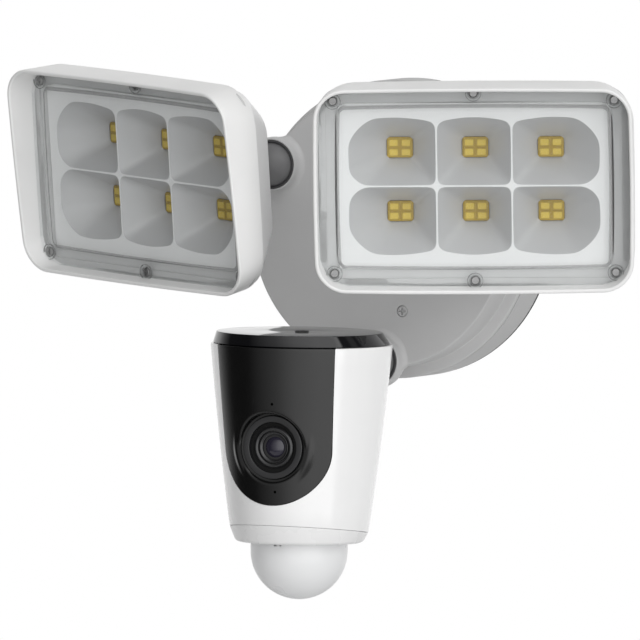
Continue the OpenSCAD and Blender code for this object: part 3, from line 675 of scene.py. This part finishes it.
def cross_head(part, at, seat, r, height):
    """Round screw head with a cross recess."""
    depth = height * 0.5
    arm, half = r * 0.62, r * 0.16
    profile = soften(
        [(r, seat, 0), (r, seat + height * 0.6, 0.3), (r * 0.75, seat + height, 0.5), (r * 0.7, seat + height, 0)]
    )
    part.turn(profile, segments=40, at=at)
    cross = [(arm, half), (half, half), (half, arm), (-half, arm), (-half, half), (-arm, half),
             (-arm, -half), (-half, -half), (-half, -arm), (half, -arm), (half, -half), (arm, -half)]
    top, floor = seat + height, seat + height - depth
    rim = [(at[0] + x, at[1] + y) for x, y in circle(r * 0.7, 40)]
    inner = [(at[0] + x, at[1] + y) for x, y in cross]
    # the head's top is a ring of wedges between the cross and the rim
    verts = [(x, y, top) for x, y in rim] + [(x, y, top) for x, y in inner] + [(x, y, floor) for x, y in inner]
    n, m = len(rim), len(inner)
    angle_of = [math.atan2(y - at[1], x - at[0]) % math.tau for x, y in inner]
    order = sorted(range(m), key=lambda i: angle_of[i])
    faces = []
    for a, b in zip(order, order[1:] + order[:1]):
        start = angle_of[a] / math.tau * n
        end = angle_of[b] / math.tau * n
        if end < start:
            end += n
        ks = list(range(round(start), round(end) + 1))
        faces.append([n + b, n + a] + [k % n for k in ks])
        faces.append([n + a, n + b, n + m + b, n + m + a])
    faces.append([n + m + i for i in order][::-1])
    part.add(verts, faces)


def make_lens_screws(side):
    """Six screws that hold the lens."""
    part = Part(side + "_lens_fixings")
    for at in LENS_SCREWS:
        cross_head(part, at, LENS_TOP - 0.9, 2.3, 1.1)
    part.make(lamp_frame(side), ["steel_screw"], side + "_lamp", [side + "_lens_screws"])


def cup_points(x0, x1, y0, y1, radii, bows, n=10):
    """Mouth of a cup: a box whose four corners are rounded and whose sides bow out.

    Radii are for the corners from the upper right, anticlockwise. Bows are right, top, left, bottom.
    It has n points for each half side, so that cups and their cells match.
    """
    cx, cy, hw, hh = (x0 + x1) / 2, (y0 + y1) / 2, (x1 - x0) / 2, (y1 - y0) / 2
    sides = [((1, -1), (1, 1)), ((1, 1), (-1, 1)), ((-1, 1), (-1, -1)), ((-1, -1), (1, -1))]
    points = []
    for (ax, ay), (bx, by) in sides:
        for k in range(2 * n):
            t = k / (2 * n)
            u, v = ax + (bx - ax) * t, ay + (by - ay) * t
            corner = (0 if v >= 0 else 3) if u >= 0 else (1 if v >= 0 else 2)
            r = radii[corner]
            fx, fy = abs(u) * hw, abs(v) * hh
            ox, oy = fx - (hw - r), fy - (hh - r)
            if ox > 0 and oy > 0:
                far = max(ox, oy)
                scale = far / math.hypot(ox, oy)
                fx, fy = hw - r + ox * scale, hh - r + oy * scale
            x, y = math.copysign(fx, u), math.copysign(fy, v)
            sx, sy = x / hw, y / hh
            x += (bows[0] if sx > 0 else -bows[2]) * abs(sx) ** 3 * (1 - sy**2)
            y += (bows[1] if sy > 0 else -bows[3]) * abs(sy) ** 3 * (1 - sx**2)
            points.append((cx + x, cy + y))
    return points


def cell_points(x0, x1, y0, y1, n=10):
    """Rectangle with the same number of points as a cup's mouth."""
    return cup_points(x0, x1, y0, y1, (0, 0, 0, 0), (0, 0, 0, 0), n)


def make_reflector(side):
    """White reflector with six cups; the cups are a darker grey than the plate, as painted shade for their depth."""
    part = Part(side + "_cups")
    rib = RIB / 2
    columns = [
        (-MID_CUP_W / 2 - RIB - SIDE_CUP_W, -MID_CUP_W / 2 - RIB, -LED_PITCH_X),
        (-MID_CUP_W / 2, MID_CUP_W / 2, 0),
        (MID_CUP_W / 2 + RIB, MID_CUP_W / 2 + RIB + SIDE_CUP_W, LED_PITCH_X),
    ]
    edge_w, edge_h = FACE_W / 2 - 1, FACE_H / 2 - 1
    for row in (-1, 1):
        for i, (x0, x1, led_x) in enumerate(columns):
            y0, y1 = (rib, rib + CUP_H) if row > 0 else (-rib - CUP_H, -rib)
            outer_left, outer_right = i == 0, i == 2
            top, bottom = row > 0, row < 0
            radii = [
                3.2 if not outer else 13 if up == top else 9
                for outer, up in ((outer_right, True), (outer_left, True), (outer_left, False), (outer_right, False))
            ]
            bows = [
                1.2 if outer_right else 0.2, 0 if bottom else 2.6, 1.2 if outer_left else 0.2, 0 if top else 2.6
            ]
            bows[1 if bottom else 3] = 0.2
            lift = 2.6
            my0, my1 = (y0, y1 - lift) if top else (y0 + lift, y1)
            mx0, mx1 = x0 + (1.2 if outer_left else 0), x1 - (1.2 if outer_right else 0)
            mouth = cup_points(mx0, mx1, my0, my1, radii, bows)
            cell = cell_points(
                -edge_w if outer_left else x0 - rib, edge_w if outer_right else x1 + rib,
                0 if top else -edge_h, edge_h if top else 0,
            )
            led_y = row * LED_PITCH_Y / 2
            hole = cup_points(led_x - 6.9, led_x + 6.9, led_y - 5.6, led_y + 5.6, (3,) * 4, (0,) * 4)
            depth = FACE_Z - LED_Z - 1.2
            rings = [[(x, y, FACE_Z) for x, y in cell]]
            for k in range(15):
                share = k / 14
                drop = depth * share ** 1.1
                rings.append([
                    (ax + (bx - ax) * share, ay + (by - ay) * share, FACE_Z - drop)
                    for (ax, ay), (bx, by) in zip(mouth, hole)
                ])
            n = len(cell)
            for a in range(len(rings) - 1):
                faces = [(k, (k + 1) % n, n + (k + 1) % n, n + k) for k in range(n)]
                # the flat plate ring takes slot 0; the cup walls take slot 1, a darker grey as painted shade for
                # their depth
                part.add(rings[a] + rings[a + 1], faces, 0 if a == 0 else 1)
    rim = soften([(1, FACE_Z, 0), (0, FACE_Z, 0.8), (0, FACE_Z - 9, 0)])
    part.sweep(shrink(FACE_W, FACE_H, FACE_R), rim, caps=(False, False))
    part.make(lamp_frame(side), ["white_reflector", "cup_grey_painted_shade"], side + "_lamp", [side + "_reflector"], 28)


def make_leds(side):
    """Six light sources: an ochre base with four yellow chips."""
    part = Part(side + "_sources")
    base_w, base_h, base_top = 13, 10.4, LED_Z + 1.2
    base = soften([(0, LED_Z, 0), (0, base_top, 0.35), (1.5, base_top, 0)])
    frame_top, chip_top = base_top + 0.5, base_top + 0.62
    border = soften(
        [(0, base_top - 0.1, 0), (0, frame_top, 0.2), (0.6, frame_top, 0.1), (0.75, base_top + 0.2, 0)]
    )
    chip = soften([(0.7, base_top, 0), (0.7, chip_top, 0.25), (1.1, chip_top, 0)])
    for sy in (-1, 1):
        for sx in (-1, 0, 1):
            at = Vector((sx * LED_PITCH_X, sy * LED_PITCH_Y / 2))

            def placed(w, h, r, spot=at):
                def outline(inset):
                    box = round_rect(w - 2 * inset, h - 2 * inset, r, 0, 4, 2)
                    return [(x + spot[0], y + spot[1]) for x, y in box]
                return outline

            part.sweep(placed(base_w, base_h, 0.9), base)
            for cx in (-3.1, 3.1):
                for cy in (-2.4, 2.4):
                    outline = placed(5.6, 4.5, 0.5, at + Vector((cx, cy)))
                    part.sweep(outline, border, caps=(False, False))
                    part.sweep(outline, chip, slot=1)
    part.make(
        lamp_frame(side), ["led_base", "led_yellow"], side + "_lamp", [side + "_led_modules"], slot="led_yellow"
    )


# ---------- camera unit ----------


def unit_r(h):
    """Radius of the camera unit's outside at a height."""
    t = (h - UNIT_BOTTOM) / (UNIT_TOP - UNIT_BOTTOM)
    return UNIT_BOTTOM_R + (UNIT_TOP_R - UNIT_BOTTOM_R) * t + UNIT_SWELL * 4 * t * (1 - t)


def panel_outline(gap=0.0, steps=48):
    """Outline of the front panel from its upper right corner, down round the lens and up again."""
    half = PANEL_HALF_TOP - gap
    r = PANEL_R - gap
    rise = UNIT_TOP - LENS_HEIGHT
    # the straight sides run from the top corners to the circle as tangents
    reach = math.hypot(half, rise)
    start = math.atan2(rise, half) - math.acos(r / reach)
    points = [(half, UNIT_TOP)]
    for k in range(steps + 1):
        a = start - (math.pi + 2 * start) * k / steps
        points.append((r * math.cos(a), LENS_HEIGHT + r * math.sin(a)))
    return points + [(-half, UNIT_TOP)]


def surface_depth(x, h, inset):
    """Distance in front of the unit's axis of a point on its cone, h above the lens axis."""
    r = unit_r(LENS_HEIGHT + h) - inset
    return math.sqrt(max(r * r - x * x, 0))


def carve(piece, parts, matrix, mode="DIFFERENCE", sharp=35):
    """Cuts parts out of a piece, or joins them to it."""
    for part in parts:
        tool = link_object("tool", part.mesh("tool", matrix))
        modifier = piece.modifiers.new("cut", "BOOLEAN")
        modifier.operation = mode
        modifier.solver = "EXACT"
        modifier.object = tool
        bpy.context.view_layer.update()
        cut_piece = piece.evaluated_get(bpy.context.evaluated_depsgraph_get())
        result = bpy.data.meshes.new_from_object(cut_piece)
        piece.modifiers.clear()
        piece.data = result
        bpy.data.objects.remove(tool)
    piece.data.shade_smooth()
    piece.data.set_sharp_from_angle(angle=math.radians(sharp))


def seam_point(a):
    """Radius and height of the shell's slanted bottom edge, in a direction round the unit's axis."""
    h = UNIT_BOTTOM
    for _ in range(4):
        h = UNIT_BOTTOM - SEAM_SLOPE * unit_r(h) * math.sin(a)
    return unit_r(h), h


def turn_uneven(part, paths):
    """Closed solid round z from one closed path of (radius, z) points for each direction."""
    n, m = len(paths), len(paths[0])
    verts, faces = [], []
    for k, path in enumerate(paths):
        turn = math.tau * k / n
        verts += [(r * math.cos(turn), r * math.sin(turn), z) for r, z in path]
        a, b = k * m, (k + 1) % n * m
        faces += [(a + i, a + (i + 1) % m, b + (i + 1) % m, b + i) for i in range(m)]
    return part.add(verts, faces)


def make_shell():
    """White tapered shell with the front panel's opening and the pad for the neck."""
    paths = []
    for k in range(192):
        foot_r, foot = seam_point(math.tau * k / 192)
        walls = [foot + (UNIT_TOP - foot) * t / 10 for t in range(1, 10)]
        paths.append(soften(
            [(foot_r, foot, 0.2)] + [(unit_r(h), h, 0) for h in walls]
            + [(UNIT_TOP_R, UNIT_TOP, 0.6), (UNIT_TOP_R - SHELL_T, UNIT_TOP, 0.4)]
            + [(unit_r(h) - SHELL_T, h, 0) for h in walls[::-1]] + [(foot_r - SHELL_T, foot, 0.2)],
            closed=True, steps=4,
        ))
    shell = turn_uneven(Part("shell"), paths)
    piece = shell.make(UNIT_FRAME, ["white_gloss"], "camera_unit", ["camera_shell"], 30)
    pad_r, pad_y = 13.3, UNIT_DEPTH - BALL_DEPTH - SEAT_REACH
    back = unit_frame(-SOCKET_CIRCLE_R, math.pi, "Y")
    pad, hole, pocket = [
        Part(name).turn([(1e-6, low), (r, low), (r, high), (1e-6, high)], segments=64)
        for name, r, low, high in (
            ("pad", pad_r, pad_y - 6, pad_y), ("hole", 7, pad_y - 9, pad_y + 3),
            ("pocket", pad_r - 2.2, pad_y - 9, pad_y - 2.4),
        )
    ]
    notch = [(pad_r, 0), (pad_r, 20), (-pad_r, 20), (-pad_r, 0)]
    notch += [(pad_r * math.cos(a), pad_r * math.sin(a)) for a in np.linspace(math.pi, math.tau, 33)[1:-1]]
    slot_cut = Part("notch").sweep(lambda inset: notch, [(0, pad_y), (0, pad_y + 9)])
    carve(piece, [pad], back, "UNION", 30)
    carve(piece, [slot_cut, pocket, hole], back, sharp=30)
    opening = [(x, h - LENS_HEIGHT) for x, h in panel_outline()]
    opening = [(x, h + (3 if h > 45 else 0)) for x, h in opening]
    window = Part("window").sweep(lambda inset: opening, [(0, 5), (0, UNIT_TOP_R + 5)])
    carve(piece, [window], LENS_FRAME, sharp=30)


def make_panel():
    """Black front panel with the round recess for the lens and two microphone holes."""
    gap, fillet, floor_r = 0.1, 1.6, 16.0
    outer_r = RECESS_R + fillet
    corners = panel_outline(gap)
    # more points along the straight sides and the top edge
    loop = []
    for (ax, ay), (bx, by) in zip(corners, corners[1:] + corners[:1]):
        steps = max(1, round(math.dist((ax, ay), (bx, by)) / 2.0))
        loop += [(ax + (bx - ax) * k / steps, ay + (by - ay) * k / steps - LENS_HEIGHT) for k in range(steps)]
    loop = [(x, min(h, UNIT_TOP - LENS_HEIGHT - gap)) for x, h in loop]
    rings = []

    def surface(x, h, inset):
        """The cone, blended up to a flat collar round the lens where it falls away."""
        depth = surface_depth(x, h, inset)
        share = min(max((outer_r + COLLAR_BLEND - math.hypot(x, h)) / COLLAR_BLEND, 0), 1)
        return depth + max(COLLAR_Z - depth, 0) * share * share * (3 - 2 * share)

    def ring(points, inset, low=None):
        depth = [surface(x, h, inset) for x, h in points]
        rings.append([(x, h, max(d, low) if low else d) for (x, h), d in zip(points, depth)])

    def circle_at(r):
        return [(x * r / math.hypot(x, h), h * r / math.hypot(x, h)) for x, h in loop]

    def between(t, r):
        return [(ax + (bx - ax) * t, ay + (by - ay) * t) for (ax, ay), (bx, by) in zip(loop, circle_at(r))]

    edge = 0.25
    ring(loop, 2.1)
    for k in range(5):
        a = math.pi / 2 * k / 4
        step = edge * (1 - math.cos(a))
        shrunk = [(x - x / math.hypot(x, h) * step, h - h / math.hypot(x, h) * step) for x, h in loop]
        ring(shrunk, edge * (1 - math.sin(a)))
    for k in range(1, 25):
        ring(between(k / 24 * 0.995 + 0.005, outer_r), 0)
    for k in range(1, 9):
        a = math.pi / 2 * k / 8
        ring(circle_at(outer_r - fillet * math.sin(a)), fillet * (1 - math.cos(a)), LENS_PLANE)
    ledge = [(RECESS_R, LENS_PLANE + 0.2, 0), (RECESS_R, LENS_PLANE, 0.15), (floor_r, LENS_PLANE, 0.1),
             (floor_r, LENS_PLANE - 1.2, 0)]
    for r, z in soften(ledge, steps=3)[1:]:
        rings.append([(x, h, z) for x, h in circle_at(r)])
    back_r = circle_at(RECESS_R + 1.2)
    rings.append([(x, h, LENS_PLANE - 1.2) for x, h in back_r])
    rings.append([(x, h, max(surface_depth(x, h, 2.1), LENS_PLANE - 1.1)) for x, h in back_r])
    n = len(loop)
    faces = []
    for a in range(len(rings)):
        b = (a + 1) % len(rings)
        faces += [(a * n + k, a * n + (k + 1) % n, b * n + (k + 1) % n, b * n + k) for k in range(n)]
    part = Part("face_panel").add([p for r in rings for p in r], faces)
    piece = part.make(LENS_FRAME, ["black_panel"], "camera_unit", ["camera_front_panel"], 32)
    holes = [
        Part("hole").turn([(1e-6, 30), (0.7, 30), (0.7, 50), (1e-6, 50)], segments=24, at=(MIC_X, h))
        for h in (MIC_RISE, -MIC_RISE)
    ]
    carve(piece, holes, LENS_FRAME, sharp=32)


def make_cap():
    """Gloss black cap."""
    profile = soften(
        [(3.65, CAP_TOP, 0.2), (CAP_R, CAP_TOP, 0.5), (44.3, UNIT_TOP + 0.1, 0.4), (42.3, UNIT_TOP + 0.1, 0),
         (42.3, UNIT_TOP - 3, 0.2), (40.3, UNIT_TOP - 3, 0.2), (40.3, CAP_TOP - 2, 0.5), (3.65, CAP_TOP - 2, 0)],
        closed=True,
    )
    part = Part("lid").turn(profile, segments=192, closed=True)
    # the top stands further forward than the rim, so the front is steep and the back slopes
    reach = CAP_R - CAP_STILL_R
    for i, (x, y, z) in enumerate(part.verts):
        rise = max(z - UNIT_TOP, 0) / (CAP_TOP - UNIT_TOP)
        part.verts[i] = (x, y - CAP_SHIFT * rise * max(math.hypot(x, y) - CAP_STILL_R, 0) / reach, z)
    part.make(UNIT_FRAME, ["black_gloss"], "camera_unit", ["camera_cap"], 25)


def make_button():
    """Round reset button in the cap."""
    profile = soften(
        [(1e-6, CAP_TOP + 0.15, 0), (2.4, CAP_TOP + 0.3, 3), (3.5, CAP_TOP + 0.25, 0.4), (3.5, CAP_TOP - 3.4, 0.1),
         (4.5, CAP_TOP - 3.4, 0.2), (4.5, CAP_TOP - 4.2, 0.2), (1e-6, CAP_TOP - 4.2, 0)]
    )
    part = Part("press_button").turn(profile, segments=64)
    part.make(UNIT_FRAME, ["black_button"], "button", ["reset_button"])


def make_bottom():
    """White bottom cover with the speaker's holes."""
    inner = DOME_R + 0.2
    paths = []
    for k in range(160):
        r, h = seam_point(math.tau * k / 160)
        paths.append(soften(
            [(inner, BOTTOM_Z, 0.3), (FOOT_R, BOTTOM_Z, FOOT_EDGE_R), (r - 0.05, h - 0.15, 0.25),
             (r - SHELL_T, h - 0.15, 0.2), (FOOT_R - SHELL_T - 0.3, BOTTOM_Z + 2.2, 1),
             (inner, BOTTOM_Z + 2.2, 0.3)],
            closed=True, steps=8,
        ))
    part = turn_uneven(Part("bottom_ring"), paths)
    piece = part.make(UNIT_FRAME, ["white_bottom"], "camera_unit", ["camera_bottom_cover"], 30)
    spots = [(a, 0.8) for a in range(60, 121, 12)] + [(a, 1.3) for a in (30, 150, 270)]
    holes = [
        Part("hole").turn(
            [(1e-6, BOTTOM_Z - 1), (r, BOTTOM_Z - 1), (r, BOTTOM_Z + 3), (1e-6, BOTTOM_Z + 3)], segments=20,
            at=((DOME_R + 3.4) * math.cos(math.radians(a)), (DOME_R + 3.4) * math.sin(math.radians(a))),
        )
        for a, r in spots
    ]
    carve(piece, holes, UNIT_FRAME, sharp=30)


def make_dome():
    """Milky dome over the motion sensors."""
    centre = BOTTOM_Z - DOME_STRAIGHT
    steps = [math.radians(a) for a in range(0, 91, 3)]
    outside = [(DOME_R * math.sin(a) or 1e-6, centre - DOME_R * math.cos(a)) for a in steps]
    r = DOME_R - 1.5
    inside = [(r * math.sin(a) or 1e-6, centre - r * math.cos(a)) for a in steps[::-1]]
    low, high = BOTTOM_Z + 2.4, BOTTOM_Z + 3.7
    flange = [(DOME_R, low), (DOME_R + 1.8, low), (DOME_R + 1.8, high), (r, high)]
    part = Part("sensor_dome").turn(outside + flange + inside, segments=128)
    part.make(UNIT_FRAME, ["milky_dome"], "camera_unit", ["pir_dome"], 40)


def make_lens_stack():
    """Stepped ring and front element of the camera's lens; the ring's groove is near black as painted shade."""
    z = LENS_PLANE
    groove_out, groove_in = 12.7, 10.4
    profile = soften(
        [(15.8, z - 3, 0), (15.8, z + 1.2, 0.35), (groove_out, z + 1.2, 0.25), (groove_out, z - 1.8, 0.1),
         (groove_in, z - 1.8, 0.1), (groove_in, z - 0.2, 0.3), (9.4, z + 0.7, 0.7), (8.3, z + 0.1, 0.3),
         (8.1, z - 1.5, 0.1), (7.7, z - 1.5, 0.1), (7.6, z - 0.1, 0.3), (6.3, z - 1.2, 0.3), (6.2, z - 3, 0)],
        closed=True, steps=6,
    )
    segments = 128
    part = Part("lens_surround").turn(profile, segments=segments, closed=True)
    # the groove's faces take slot 1, near black as painted shade for the groove
    in_groove = [groove_in - 0.01 < r < groove_out + 0.01 and h < z + 0.9 for r, h in profile]
    part.slots = [
        int(a and b) for a, b in zip(in_groove, in_groove[1:] + in_groove[:1]) for _ in range(segments)
    ]
    part.make(LENS_FRAME, ["black_ring", "groove_painted_shade"], "camera_unit", ["lens_ring"], 30)
    ball_r, rim = 7.4, 6.15
    sag = ball_r - math.sqrt(ball_r**2 - rim**2)
    arc = np.linspace(0, math.asin(rim / ball_r), 16)
    top = z - 0.3
    dome = [(ball_r * math.sin(a) or 1e-6, top - ball_r * (1 - math.cos(a))) for a in arc]
    glass = Part("front_element").turn(dome + [(rim, top - sag - 0.4), (1e-6, top - sag - 0.4)], segments=96)
    glass.make(LENS_FRAME, ["lens_glass"], "camera_unit", ["lens_glass"], 30)


# ---------- building ----------

SLOT_OF = {s["node"]: s["material_slot"] for s in frame["record"]["subparts"]}
for node, piece in frame["nodes"].items():
    piece.data.materials.clear()
    piece.data.materials.append(MATERIALS[SLOT_OF[node]])

make_cover()
make_mount_screws()
make_socket_rings()
for side in ("left", "right", "camera"):
    make_stud(side)
for side in ("left", "right"):
    make_hood(side)
    make_rear(side)
    make_lens(side)
    make_lens_screws(side)
    make_reflector(side)
    make_leds(side)
make_shell()
make_panel()
make_cap()
make_button()
make_bottom()
make_dome()
make_lens_stack()

# ---------- stage ----------

# brightness of the studio round the object, by azimuth, and how it fades by height
SKY_PEAK = 4.0
SKY_ROUND = [
    (-180, 1.0), (-115, 1.0), (-100, 0.4), (-86, 0.0), (-50, 0.0), (-10, 0.7), (15, 1.55), (45, 2.0),
    (70, 2.0), (77, 2.8), (80, 0.05), (92, 0.05), (94, 0.3), (103, 0.3), (105, 0.05), (109, 0.05),
    (114, 0.5), (150, 0.8), (180, 1.0),
]
SKY_HEIGHT = [(-1, 0), (-0.55, 0), (-0.4, 0.8), (-0.1, 1), (0.6, 1), (0.85, 0.6), (1, 0.5)]
SKY_LOW = 0.05


def make_stage():
    """Pale floor well below the object."""
    size, height = 0.6, -0.42
    mesh = bpy.data.meshes.new("floor")
    corners = [(-size, -size, height), (size, -size, height), (size, size, height), (-size, size, height)]
    mesh.from_pydata(corners, [], [(0, 1, 2, 3)])
    floor = link_object("floor", mesh)
    material, tree, shader = material_nodes("floor_pale")
    tree.links.new(tint(tree, noise(tree, 2, 2), (0.75, 0.75, 0.75), 0.005), shader.inputs["Base Color"])
    fill(shader, {"Roughness": 0.8})
    mesh.materials.append(material)


def make_sky():
    """White to the camera; for light, a wide soft box in front on the right and white behind."""
    world = bpy.data.worlds.new("studio")
    bpy.context.scene.world = world
    world.use_nodes = True
    tree = world.node_tree
    links = tree.links
    seen = fill(tree.nodes["Background"], {"Color": (1, 1, 1, 1)})
    lit = new_node(tree, "Background", {"Color": (1, 1, 1, 1)})
    place = new_node(tree, "TexCoord")
    split = new_node(tree, "SeparateXYZ")
    links.new(place.outputs["Generated"], split.inputs["Vector"])

    def math_node(operation, *values):
        node = new_node(tree, "Math")
        node.operation = operation
        for socket, value in zip(node.inputs, values):
            if isinstance(value, (int, float)):
                socket.default_value = value
            else:
                links.new(value, socket)
        return node.outputs["Value"]

    def steps(value, points):
        ramp = new_node(tree, "ValToRGB")
        while len(ramp.color_ramp.elements) < len(points):
            ramp.color_ramp.elements.new(0.5)
        for element, (at, level) in zip(ramp.color_ramp.elements, points):
            element.position = at
            element.color = (level, level, level, 1)
        links.new(value, ramp.inputs["Fac"])
        return ramp.outputs["Color"]

    # azimuth from the front towards the right, as a share of the full turn
    turn = math_node("ARCTAN2", split.outputs["X"], math_node("MULTIPLY", split.outputs["Y"], -1.0))
    share = math_node("MULTIPLY_ADD", turn, 0.5 / math.pi, 0.5)
    level = steps(share, [((azimuth + 180) / 360, value / SKY_PEAK) for azimuth, value in SKY_ROUND])
    height = math_node("MULTIPLY_ADD", split.outputs["Z"], 0.5, 0.5)
    fade = steps(height, [((z + 1) / 2, value) for z, value in SKY_HEIGHT])
    strength = math_node("MULTIPLY_ADD", math_node("MULTIPLY", level, fade), SKY_PEAK, SKY_LOW)
    links.new(strength, lit.inputs["Strength"])
    path = new_node(tree, "LightPath")
    mix = new_node(tree, "MixShader")
    links.new(path.outputs["Is Camera Ray"], mix.inputs["Fac"])
    links.new(lit.outputs["Background"], mix.inputs[1])
    links.new(seen.outputs["Background"], mix.inputs[2])
    links.new(mix.outputs["Shader"], tree.nodes["World Output"].inputs["Surface"])


def make_camera():
    """Long lens at the object's three-quarter view, a little above it."""
    azimuth, elevation = math.radians(23.8), math.radians(3.15)
    distance, frame_width = 14.2, 0.3218
    back = Vector((
        math.sin(azimuth) * math.cos(elevation), -math.cos(azimuth) * math.cos(elevation), math.sin(elevation)
    ))
    right = Vector((math.cos(azimuth), math.sin(azimuth), 0))
    up = back.cross(right)
    data = bpy.data.cameras.new("camera")
    data.sensor_width = 36
    data.lens = 36 * distance / frame_width
    data.clip_end = 100
    camera = link_object("camera", data)
    aim = -right * 0.04825 - up * 0.047
    camera.location = aim + back * distance
    camera.rotation_euler = (-back).to_track_quat("-Z", "Y").to_euler()
    bpy.context.scene.camera = camera


make_stage()
make_sky()
make_camera()
bpy.context.scene.view_settings.view_transform = "Standard"
